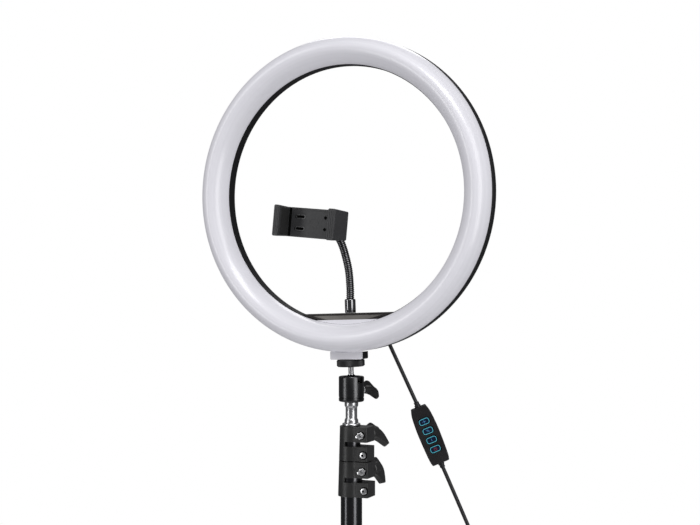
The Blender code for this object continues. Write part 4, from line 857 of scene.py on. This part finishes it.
def make_collar(name, node, number, body, inner_r, outer_r, prefix):
    """A collar with its nut, bolt and the end of its screw. Gives the place of its knob."""
    top, tall = COLLAR_TOPS[number], COLLAR_HEIGHTS[number]
    slot = top - SLOT_DROPS[number]
    foot = 0.5 * MM if number == 0 else 0.0  # leaves a clear dark line above the lower collar
    bm = prism(collar_outline(number), top - tall + foot, top)
    for v in bm.verts:
        if v.co.z > top - 1e-6:
            v.co.xy *= 1.0 - COLLAR_DRAFT * min(1.0, max(0.0, (6 * MM - v.co.x) / (12 * MM)))
    bmesh.ops.triangulate(bm, faces=[f for f in bm.faces if len(f.verts) == 4])
    collar = piece(name, bm, "collar", BALL)
    carve(collar, rod((0, 0, slot + 0.6 * MM), (0, 0, top + MM), inner_r + GAP, 96), BALL)
    carve(collar, rod((0, 0, top - tall - MM), (0, 0, slot + MM), outer_r + GAP, 96), BALL)
    carve(collar, block((SLOT_START, -FAR, slot - SLOT), (FAR, FAR, slot)), BALL)
    bolts = [(PINCH_X[number], top - PINCH_DROPS[number]), (FIXING_X[number], top - FIXING_DROPS[number])]
    for x, z in bolts:
        carve(collar, rod((x, -FAR, z), (x, FAR, z), 2.2 * MM), BALL)
        carve(collar, rod((x, -FAR, z), (x, -COLLAR_Y + 0.9 * MM, z), 4.5 * MM, 40), BALL)
    soften(collar, 0.45 * MM, highlight_edges="collar_edge_highlight")
    ride(collar, body, node, slot="collar_plastic")
    pinch, fixing = [BALL @ at(x, -COLLAR_Y - GAP, z) @ spin(math.pi / 2, "X") for x, z in bolts]
    nut = piece(f"{prefix}_nut", prism(hex_outline(4.0 * MM, 0.3), 0, 2.2 * MM), "steel", pinch)
    carve(nut, rod(mm(0, 0, -1), mm(0, 0, 5), 2.2 * MM), pinch)
    soften(nut, 0.35 * MM, 2)
    ride(nut, body, f"{prefix}_pinch_nut", slot="bright_steel")
    profile = [(0, 0), (3.3, 0), (3.5, 0.2), (3.5, 1.3), (3.1, 2.0), (2.5, 2.2), (0, 2.2)]
    bolt = piece(f"{prefix}_socket_bolt", turned(in_mm(profile), 40), "steel", fixing)
    carve(bolt, prism(hex_outline(1.5 * MM), 0.5 * MM, 3 * MM), fixing)
    carve(bolt, rod((0, 0, -2 * COLLAR_Y + MM), mm(0, 0, 0.5), 1.9 * MM), fixing, "UNION")
    ride(bolt, body, f"{prefix}_fixing_bolt", slot="bright_steel")
    # A near-black sheet in the bolt's socket: painted shade.
    bm = prism(hex_outline(1.35 * MM), 0.55 * MM, 0.8 * MM)
    add(f"{prefix}_bolt_socket", bm, "painted_shade_black", fixing, body, slot="bright_steel")
    profile = [(0, -0.2), (2.1, -0.2), (2.1, 8.6), (1.7, 9.3), (0, 9.5)]
    tip = piece(f"{prefix}_pinch_end", turned(in_mm(profile), 28), "steel", pinch)
    carve(tip, block(mm(-0.4, -3, 8.7), mm(0.4, 3, 11)), pinch @ spin(0.6, "Z"))
    ride(tip, f"{prefix}_knob", slot="bright_steel")
    for (x, _), face in zip(bolts, (pinch, fixing)):
        # A near-black ring in the recess round each bolt: painted shade.
        bm = turned(in_mm([(2.3, -0.45), (4.4, -0.45), (4.4, -0.3), (2.3, -0.3)]), 40, closed=True)
        add(f"{prefix}_bolt_seat_{round(x / MM)}", bm, "painted_shade_black", face, body, slot="collar_plastic")
    return BALL @ at(bolts[0][0], COLLAR_Y + GAP, bolts[0][1])


def make_mast():
    tube_top = BALL_Z + COLLAR_TOPS[0] + 0.2 * MM
    pipe("mast_top_tube", "top_tube", 8.0 * MM, 6.9 * MM, tube_top - TUBE_LENGTH, tube_top, "top_mast")
    tops = [BALL_Z + top - drop + 0.5 * MM for top, drop in zip(COLLAR_TOPS, SLOT_DROPS)]
    pipe("mast_middle_tube", "mid_tube", 9.5 * MM, 8.4 * MM, tops[0] - TUBE_LENGTH, tops[0], "mid_mast")
    pipe("mast_outer_tube", "outer_tube", 11.25 * MM, 9.9 * MM, 60 * MM, tops[1], "stand")
    screw = {"screw": 23 * MM, "screw_r": 1.7 * MM}
    place = make_collar("collar_upper", "upper_collar", 0, "mid_mast", 8.0 * MM, 9.5 * MM, "upper")
    make_knob("wing_knob_upper", "upper_knob", place, math.pi / 2, math.radians(-40), **screw)
    place = make_collar("collar_lower", "lower_collar", 1, "stand", 9.5 * MM, 11.25 * MM, "lower")
    make_knob("wing_knob_lower", "lower_knob", place, math.pi / 2, math.radians(-16), **screw)


def make_ball_knob():
    azimuth, reach = math.radians(60), 16.2 * MM
    place = BALL @ at(reach * math.cos(azimuth), reach * math.sin(azimuth), -BALL_KNOB_DROP)
    make_knob("wing_knob_ball", "ball_knob", place, azimuth, math.radians(-39), 9 * MM, 1.9 * MM, 0.62, 1.6)
    place = BALL @ at(0, 0, -BALL_KNOB_DROP) @ spin(azimuth, "Z") @ spin(math.pi / 2, "Y")
    washer = rod(mm(0, 0, 13.4), mm(0, 0, 16.1), 3.2 * MM)
    add("ball_knob_washer", washer, "steel", place, "ball_knob", slot="bright_steel")


make_disc()
make_ball()
make_housing()
make_ball_knob()
make_spigot()
make_mast()

# ---------------------------------------------------------------- neck and phone holder

NECK_POINTS = [Vector(point) * MM for point in (
    (6.8, 7.5, -111.0), (6.6, 7.6, -98.0), (4.2, 9.0, -79.3), (-0.9, 10.6, -62.0), (-6.0, 11.8, -50.0),
    (-12.8, 13.2, -40.8), (-20.0, 13.0, -35.4), (-23.3, 9.4, -32.4),
)]
NECK_R, NECK_PITCH = mm(4.2, 2.0)
STUD_AT = Vector((-24.7, 1.6, -31.0)) * MM


def make_neck():
    """A wound metal neck: round turns with grooves between them, bent smoothly across its two joints."""
    per = 8
    route = [MIDDLE @ p for p in smooth_route(NECK_POINTS, NECK_PITCH / per)]
    radii = [NECK_R - 0.75 * MM * (1 - abs(math.sin(math.pi * k / per))) ** 1.5 for k in range(len(route))]
    first_bend, middle, second_bend = [
        min(range(len(route)), key=lambda k: (route[k] - MIDDLE @ NECK_POINTS[n]).length) for n in (2, 3, 4)
    ]
    last = len(route) - 1
    for name, low, high, joint, a, b, nodes in (
        ("neck_windings_low", 0, middle, first_bend, "neck_lower", "neck_middle", ["neck_1"]),
        ("neck_windings_high", middle, last, second_bend, "neck_middle", "neck_upper", ["neck_2", "neck_3"]),
    ):
        obj = piece(name, swept(route[low : high + 1], radii[low : high + 1], 32), "neck", None, 60)
        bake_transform(obj)
        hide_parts(*nodes)
    ball = bmesh.new()
    bmesh.ops.create_uvsphere(ball, u_segments=40, v_segments=24, radius=4.2 * MM)
    bmesh.ops.translate(ball, verts=ball.verts, vec=STUD_AT)
    stud = piece("holder_ball_stud", ball, "chrome", MIDDLE)
    neck_end = NECK_POINTS[-1]
    carve(stud, rod(STUD_AT, neck_end - (neck_end - STUD_AT).normalized() * 1.9 * MM, 2.0 * MM), MIDDLE, "UNION")
    ride(stud, "holder_stud", "holder_ball", slot="chrome")
    f = BAR_TOP / MM + 0.3
    profile = [(4.3, f), (5.5, f), (5.7, f + 0.3), (5.7, f + 13.4), (5.5, f + 14.0), (5.1, f + 14.4), (4.3, f + 14.5)]
    bm, place = turned(in_mm(profile), 64, closed=True), HEAD @ at(*NECK_FOOT)
    add("neck_base_ferrule", bm, "black_chrome", place, "lamp_head", "neck_ferrule", slot="chrome", angle=50)


# The phone holder, in millimetres.
HOLDER_DEPTH, PLATE_DEPTH, PLATE_HALF = 33.0, 10.0, 15.5
FIXED_JAW, SLIDING_JAW, PLATE_END = (-37.4, -30.9), (24.9, 33.3), 24.6
CLAMP = {"body": "phone_clamp", "slot": "holder_black"}


def jaw_block(start, end):
    """A jaw: as deep as the holder, and a little taller at its front than at its back."""
    front, back = 16.3, 15.2
    bm = box((start, end), (-HOLDER_DEPTH, 0.0), (-1.0, 1.0))
    for v in bm.verts:
        v.co.z *= front if v.co.y < -HOLDER_DEPTH * MM / 2 else back
    flat_ends = [e for e in bm.edges if abs(e.verts[0].co.y - e.verts[1].co.y) > HOLDER_DEPTH * MM / 2]
    bmesh.ops.bevel(bm, geom=flat_ends, offset=1.7 * MM, segments=5, affect="EDGES", profile=0.5)
    rims = [e for e in bm.edges if len(e.link_faces) == 2 and e.calc_face_angle(0.0) > math.radians(60.0)]
    bmesh.ops.bevel(bm, geom=rims, offset=0.7 * MM, segments=3, affect="EDGES", profile=0.5)
    return bm


def carve_grip_lines(jaw, places):
    """Fine upright lines in a jaw's front edge, at the places given in millimetres."""
    half = 0.22
    for x in places:
        line = box((x - half, x + half), (-HOLDER_DEPTH - 0.5, -HOLDER_DEPTH + 0.3), (-14.0, 14.0))
        carve(jaw, line, HOLDER)


def decorate_plate(body):
    """The plate's front: a shallow panel inside a raised border, two slots and a faint ring in its middle."""
    front = HOLDER @ at(0, -PLATE_DEPTH * MM, 0)
    face = front @ spin(-math.pi / 2, "X")
    carve(body, rounded_plate(24.4, 13.4, 1.6, (-1.2, 0), -0.3, 0.3, 5), face)
    for z, end in ((6.1, "top"), (-6.5, "low")):
        carve(body, rounded_plate(1.9, 1.9, 1.6, (-21.6, -z), -2.4, 2.4), face)
        carve(body, rounded_plate(4.6, 1.35, 1.3, (-17.4, -z), -1.4, 1.4), face)
        # Near-black sheets in the hole and the slot: painted shade.
        add(f"holder_hole_{end}", rounded_plate(1.8, 1.8, 1.5, (-21.6, -z), 0.15, 0.45), "painted_shade_black", face, **CLAMP)
        add(f"holder_slot_{end}", rounded_plate(3.6, 1.0, 0.9, (-17.0, -z), 0.9, 1.2), "painted_shade_black", face, **CLAMP)
        # A lighter rim round each slot: painted highlight.
        rim = rounded_plate(5.4, 2.0, 1.9, (-16.8, -z), -0.1, 0.36, 8)
        rim = add(f"holder_slot_rim_{end}", rim, "holder_edge_highlight", face, **CLAMP)
        carve(rim, rounded_plate(4.9, 1.5, 1.4, (-17.0, -z), -1, 2, 8), face)
    for z, end in ((6.7, "top"), (-5.5, "low")):
        place = front @ at(*mm(11.8, 0, z))
        carve(body, rod(mm(0, -1, 0), mm(0, 1.8, 0), 1.8 * MM), place)
        # A near-black disc in the dot's hole: painted shade.
        add(f"holder_dot_{end}", rod(mm(0, 0.5, 0), mm(0, 0.8, 0), 1.7 * MM), "painted_shade_black", place, **CLAMP)
    ring = turned(in_mm([(4.6, -0.5), (5.2, -0.5), (5.1, 0.12), (4.7, 0.12)]), 48, closed=True)
    carve(body, ring, front @ at(*mm(-1.0, 0.3)) @ spin(math.pi / 2, "X"), "UNION")


def make_holder():
    body = piece("holder_body", jaw_block(*FIXED_JAW), "holder", HOLDER)
    inner, middle, front = FIXED_JAW[1], -PLATE_DEPTH / 2, -PLATE_DEPTH
    carve(body, box((inner - 2, PLATE_END), (front, -0.4), (-PLATE_HALF, PLATE_HALF)), HOLDER, "UNION")
    carve(body, box((-28.0, PLATE_END + 1), (middle - 2.2, middle + 2.2), (-10.3, 10.3)), HOLDER)
    carve(body, box((inner, inner + 3.2), (front - 1, front + 2), (-PLATE_HALF - 2, PLATE_HALF + 2)), HOLDER)
    half = PLATE_HALF - 0.3
    # A near-black strip in the groove beside the fixed jaw: painted shade.
    groove = box((inner + 0.1, inner + 3.1), (front + 0.6, front + 1.2), (-half, half))
    add("holder_groove", groove, "painted_shade_black", HOLDER, **CLAMP)
    decorate_plate(body)
    carve_grip_lines(body, (-35.5, -33.8, -32.0))
    soften(body, 0.32 * MM, 2, highlight_edges="holder_edge_highlight")
    ride(body, "phone_clamp", "clamp_body", slot="holder_black")
    jaw = piece("holder_jaw", jaw_block(*SLIDING_JAW), "holder", HOLDER)
    tongue = box((-7.0, SLIDING_JAW[0] + 4), (middle - 1.9, middle + 1.9), (-10.0, 10.0))
    carve(jaw, tongue, HOLDER, "UNION")
    carve_grip_lines(jaw, (27.0, 29.0, 31.0))
    soften(jaw, 0.32 * MM, 2, highlight_edges="holder_edge_highlight")
    ride(jaw, "clamp_jaw", "sliding_jaw", slot="holder_black")
    half = PLATE_HALF - 1.8
    for x, owner, name in ((inner - 0.3, "phone_clamp", "fixed"), (SLIDING_JAW[0] - 0.5, "clamp_jaw", "sliding")):
        pad = box((x, x + 0.8), (-HOLDER_DEPTH + 4.5, front - 1.4), (-half, half))
        pad = add(f"holder_pad_{name}", pad, "rubber", HOLDER, owner, slot="rubber")
        soften(pad, 0.3 * MM, 2)


def make_spring():
    turns, per = 9, 20
    start, long, r = -27.0, 18.0, 1.3
    helix = []
    for i in range(turns * per + 1):
        a = 2 * math.pi * i / per
        across, up = -PLATE_DEPTH / 2 + r * math.cos(a), r * math.sin(a)
        helix.append(Vector(mm(start + long * i / (turns * per), across, up)))
    bm = swept(helix, 0.22 * MM, 8)
    add("holder_spring", bm, "steel", HOLDER, "phone_clamp", "clamp_spring", slot="bright_steel")


def make_socket_nut():
    lobes, depth = 12, 0.06
    profile = [(4.5, 0.3), (7.1, 0.3), (7.4, 0.7), (7.4, 4.8), (6.9, 5.6), (6.2, 6.0), (4.5, 6.0)]
    bm = turned(in_mm(profile), 96, closed=True)
    for v in bm.verts:
        if v.co.xy.length > 6.9 * MM:
            wave = 0.5 + 0.5 * math.cos(math.atan2(v.co.y, v.co.x) * lobes)
            v.co.xy *= 1 - depth * (1 - wave)
    place = HOLDER @ spin(-math.pi / 2, "X")
    add("holder_nut", bm, "holder", place, "socket_nut", "socket_nut", slot="holder_black", angle=40)


make_neck()
make_holder()
make_spring()
make_socket_nut()

# ---------------------------------------------------------------- cord switch


def controller_frame():
    along = (CONTROLLER_END - CONTROLLER_TOP).normalized()
    side = along.cross(Vector((-0.42, 0.907, 0.0))).normalized()
    face = side.cross(along).normalized()
    basis = Matrix((side, along * -1, face * -1)).transposed()
    if basis.determinant() < 0:
        basis = Matrix((side * -1, along * -1, face * -1)).transposed()
    return MAST @ Matrix.Translation((CONTROLLER_TOP + CONTROLLER_END) / 2) @ basis.to_4x4()


CONTROLLER = controller_frame()
CONTROLLER_LENGTH = (CONTROLLER_END - CONTROLLER_TOP).length
CONTROLLER_HALF = CONTROLLER_LENGTH / 2 - 5.75 * MM
KEY_START, KEY_PITCH, KEY_X, KEY_Y = mm(15.7, 10.3, 5.6, 3.4)
KEY_PLACES = [KEY_START - k * KEY_PITCH for k in range(4)]


def switch_outline(inset=0.0):
    """The switch body's outline: narrow at both ends and widest above its middle, with rounded corners."""
    half = CONTROLLER_HALF
    corner = 1.7 * MM
    shape = [(-1, 9.0), (-0.85, 10.3), (-0.5, 11.0), (0, 11.4), (0.35, 11.2), (0.75, 10.2), (1, 8.0)]
    right = smooth_route([Vector((w * MM, half * along, 0)) for along, w in shape], 2.0 * MM)
    right = [p for p in right if -half + corner < p.y < half - corner]
    low_x, high_x = right[0].x - corner - inset, right[-1].x - corner - inset
    quarter, end = math.pi / 2, half - corner
    out = [(p.x - inset, p.y) for p in right]
    out += arc(corner, 0, quarter, 6, (high_x, end - inset))
    out += arc(corner, quarter, 2 * quarter, 6, (-high_x, end - inset))
    out += [(-p.x + inset, p.y) for p in right[::-1]]
    out += arc(corner, 2 * quarter, 3 * quarter, 6, (-low_x, inset - end))
    out += arc(corner, 3 * quarter, 4 * quarter, 6, (low_x, inset - end))
    clean = [out[0]]
    for p in out[1:]:
        if math.dist(p, clean[-1]) > 0.05 * MM and math.dist(p, out[0]) > 0.05 * MM:
            clean.append(p)
    return clean


KEY_GLYPHS = (
    (
        ("disc", 0, 0, 0.8), ("bar", 0, 1.7, 0.25, 0.35), ("bar", 0, -1.7, 0.25, 0.35),
        ("bar", 1.7, 0, 0.35, 0.25), ("bar", -1.7, 0, 0.35, 0.25),
    ),
    (("bar", -0.9, 0.9, 1.1, 0.22), ("bar", 0, 0, 1.1, 0.22), ("bar", 0.9, -0.9, 1.1, 0.22)),
    (("bar", 0, 0, 0.28, 1.3),),
    (("bar", 0, 0.9, 0.28, 0.9), ("arc", 0, 0, 1.7)),
)
POWER_KEY = 4
MARK_LOW, MARK_TOP = 6.1, 6.32  # millimetres above the switch's parting line


def mark_shape(kind, x, y, *sizes):
    """A bar of a half width and half height, or a disc or open arc of a radius, all in millimetres."""
    if kind == "bar":
        wide, high = sizes
        return block(mm(x - wide, y - high, MARK_LOW), mm(x + wide, y + high, MARK_TOP))
    if kind == "disc":
        return turned(in_mm([(0, MARK_LOW), (sizes[0], MARK_LOW), (sizes[0], MARK_TOP), (0, MARK_TOP)]), 24)
    radius, start, end = sizes[0] * MM, math.radians(125), math.radians(415)
    outline = arc(radius, start, end, 25) + arc(radius - 0.4 * MM, end, start, 25)
    return prism(outline, MARK_LOW * MM, MARK_TOP * MM)


def key_outline(inset, corner, centre=(0.0, 0.0)):
    return rounded_box_outline(KEY_X - inset * MM, KEY_Y - inset * MM, corner * MM, 8, centre)


def make_key(number):
    """A key with a lit rim and its marks."""
    key, name = f"button_{number}", f"key_{number}"
    place = CONTROLLER @ at(0, KEY_PLACES[number - 1], 0)
    cap = add(name, prism(key_outline(0, 2.5), 4.2 * MM, 6.2 * MM), "button", place, key, key, slot="button_blue")
    soften(cap, 0.3 * MM, 2)
    rim = prism(key_outline(0.25, 2.3), MARK_LOW * MM, 6.38 * MM)
    rim = add(f"{name}_rim", rim, "glow_cyan", place, key, slot="button_blue")
    carve(rim, prism(key_outline(0.7, 1.8), 5 * MM, 8 * MM), place)
    glow = "glow_red" if number == POWER_KEY else "glow_blue"
    for k, glyph in enumerate(KEY_GLYPHS[number - 1], 1):
        add(f"{name}_mark_{k}", mark_shape(*glyph), glow, place, key, slot="button_blue")


def make_controller():
    front = piece("switch_front", prism(switch_outline(), GAP / 2, 5.6 * MM), "controller", CONTROLLER)
    for y in KEY_PLACES:
        carve(front, prism(key_outline(-0.4, 2.7, (0, y)), 3.2 * MM, 8 * MM), CONTROLLER)
    soften(front, 0.9 * MM)
    ride(front, "top_mast", "controller_front", slot="controller_black")
    bm = prism(switch_outline(), -4.6 * MM, -GAP / 2)
    rear = add("switch_rear", bm, "controller", CONTROLLER, "top_mast", "controller_rear", slot="controller_black")
    soften(rear, 1.3 * MM, 4)
    bm = prism(switch_outline(0.25 * MM), -0.5 * MM, 0.5 * MM)
    add("switch_seam", bm, "controller_edge", CONTROLLER, "top_mast", slot="controller_black")
    near, far = CONTROLLER_HALF - 1.0 * MM, CONTROLLER_LENGTH / 2 - GAP
    for end, name in ((1, "upper"), (-1, "lower")):
        route, radii = [], []
        for i in range(21):
            u = i / 20
            route.append(Vector((0, end * (near + (far - near) * u), -0.1 * MM)))
            radii.append((3.3 if u < 0.55 else 2.75) * MM - (0.25 * MM if 0.62 < u < 0.74 else 0))
        bm = swept(route, radii, 28, up=(0, 0, 1))
        add(f"switch_relief_{name}", bm, "cord", CONTROLLER, "top_mast", slot="cord_black")
    for number in range(1, 5):
        make_key(number)


make_controller()

# ---------------------------------------------------------------- folding base


def make_base():
    nodes = frame["nodes"]
    look = {"leg_hub": ("collar", 0.7), "lower_bracket": ("collar", 0.7), "led_board": ("board", 0.0)}
    for n in (1, 2, 3):
        look[f"leg_{n}"] = ("paint", 0.35)
        look[f"strut_{n}"] = ("paint", 0.5)
        look[f"foot_{n}"] = ("rubber", 1.0)
    for name, (mat, width) in look.items():
        node = nodes[name]
        node.data.materials.clear()
        node.data.materials.append(MATERIALS[mat])
        if width:
            soften(node, width * MM)
    profile = [(0, 0), (2.9, 0), (2.8, 0.5), (2.2, 1.0), (1.2, 1.25), (0, 1.3)]
    for n, azimuth in enumerate(LEG_AZIMUTHS, 1):
        leg = MAST @ spin(azimuth, "Z") @ at(LEG_PIVOT_R, 0, LEG_PIVOT_Z) @ spin(math.pi - LEG_ANGLE, "Y")
        for k, z in enumerate((0.0, STRUT_LENGTH)):
            for side, letter in ((-1, "a"), (1, "b")):
                face = leg @ at(0, side * 6.5 * MM, z) @ spin(-side * math.pi / 2, "X")
                bm = turned(in_mm(profile), 24)
                add(f"leg_{n}_rivet_{k}_{letter}", bm, "steel", face, f"leg_{n}", slot="bright_steel")


def make_hub_knob():
    azimuth, reach = math.radians(30), 16.3 * MM
    place = MAST @ at(0, 0, LEG_PIVOT_Z) @ at(reach * math.cos(azimuth), reach * math.sin(azimuth), 13 * MM)
    make_knob("wing_knob_hub", "hub_knob", place, azimuth, 0.0, 4 * MM, 2.0 * MM)


make_base()
make_hub_knob()

# ---------------------------------------------------------------- floor, light


def fade_out(mat, near, far):
    """Lets a round floor melt into its surroundings between two distances from its middle."""
    tree = mat.node_tree
    out = next(n for n in tree.nodes if n.type == "OUTPUT_MATERIAL")
    shader = out.inputs["Surface"].links[0].from_socket
    place = shader_node(tree, "TexCoord", {}).outputs["Object"]
    length = shader_node(tree, "VectorMath", {0: place}, operation="LENGTH").outputs["Value"]
    share = map_range(tree, length, near, far, interpolation_type="SMOOTHSTEP")
    clear = shader_node(tree, "BsdfTransparent", {}).outputs[0]
    put(tree, out, {"Surface": shader_node(tree, "MixShader", {0: share, 1: shader, 2: clear}).outputs[0]})


FLOOR_R, FLOOR_DROP = 2.4, 0.0002
FADE_FROM, FADE_TO = 0.5, 1.6


def make_stage():
    bm = bmesh.new()
    bmesh.ops.create_circle(bm, cap_ends=True, segments=128, radius=FLOOR_R)
    floor = as_object("floor", bm)
    surface("floor", (0.86, 0.86, 0.87), 0.6, mottle=0.01)
    fade_out(MATERIALS["floor"], FADE_FROM, FADE_TO)
    floor.data.materials.append(MATERIALS["floor"])
    floor.location.z = -FLOOR_DROP
    bpy.context.scene.view_settings.view_transform = "Standard"
    world = bpy.data.worlds.new("studio")
    bpy.context.scene.world = world
    world.use_nodes = True
    tree = world.node_tree
    tree.nodes.clear()
    seen = shader_node(tree, "Background", {"Color": (1, 1, 1, 1), "Strength": 1.0}).outputs[0]
    lit = shader_node(tree, "Background", {"Color": (0.95, 0.96, 1.0, 1), "Strength": 0.11}).outputs[0]
    straight = shader_node(tree, "LightPath", {}).outputs["Is Camera Ray"]
    mix = shader_node(tree, "MixShader", {0: straight, 1: lit, 2: seen}).outputs[0]
    shader_node(tree, "OutputWorld", {"Surface": mix})


LIT_FROM = 24.5  # degrees from -Y towards +X, about where the camera stands
AIM_HEIGHT = 0.8


def softbox(name, azimuth, distance, height, wide, tall, watts):
    """A tall soft light. Azimuth is in degrees from -Y towards +X, round the mast."""
    data = bpy.data.lights.new(name, "AREA")
    data.shape, data.size, data.size_y, data.energy = "RECTANGLE", wide, tall, watts
    light = bpy.data.objects.new(name, data)
    bpy.context.scene.collection.objects.link(light)
    a = math.radians(azimuth)
    place = Vector((math.sin(a) * distance, MAST_Y - math.cos(a) * distance, height))
    light.location = place
    aim = Vector((0, MAST_Y, AIM_HEIGHT)) - place
    light.rotation_euler = aim.to_track_quat("-Z", "Y").to_euler()
    light.visible_camera = False


make_stage()
softbox("key_left", LIT_FROM - 63, 1.7, 1.1, 0.36, 2.0, 10)
softbox("key_right", LIT_FROM + 40, 1.8, 1.1, 0.80, 2.0, 17)
softbox("front", LIT_FROM + 12, 1.7, 2.7, 1.4, 0.9, 30)
softbox("top", 10, 0.9, 2.9, 1.8, 1.8, 8)
softbox("rim", 200, 1.8, 2.5, 1.2, 1.0, 9)
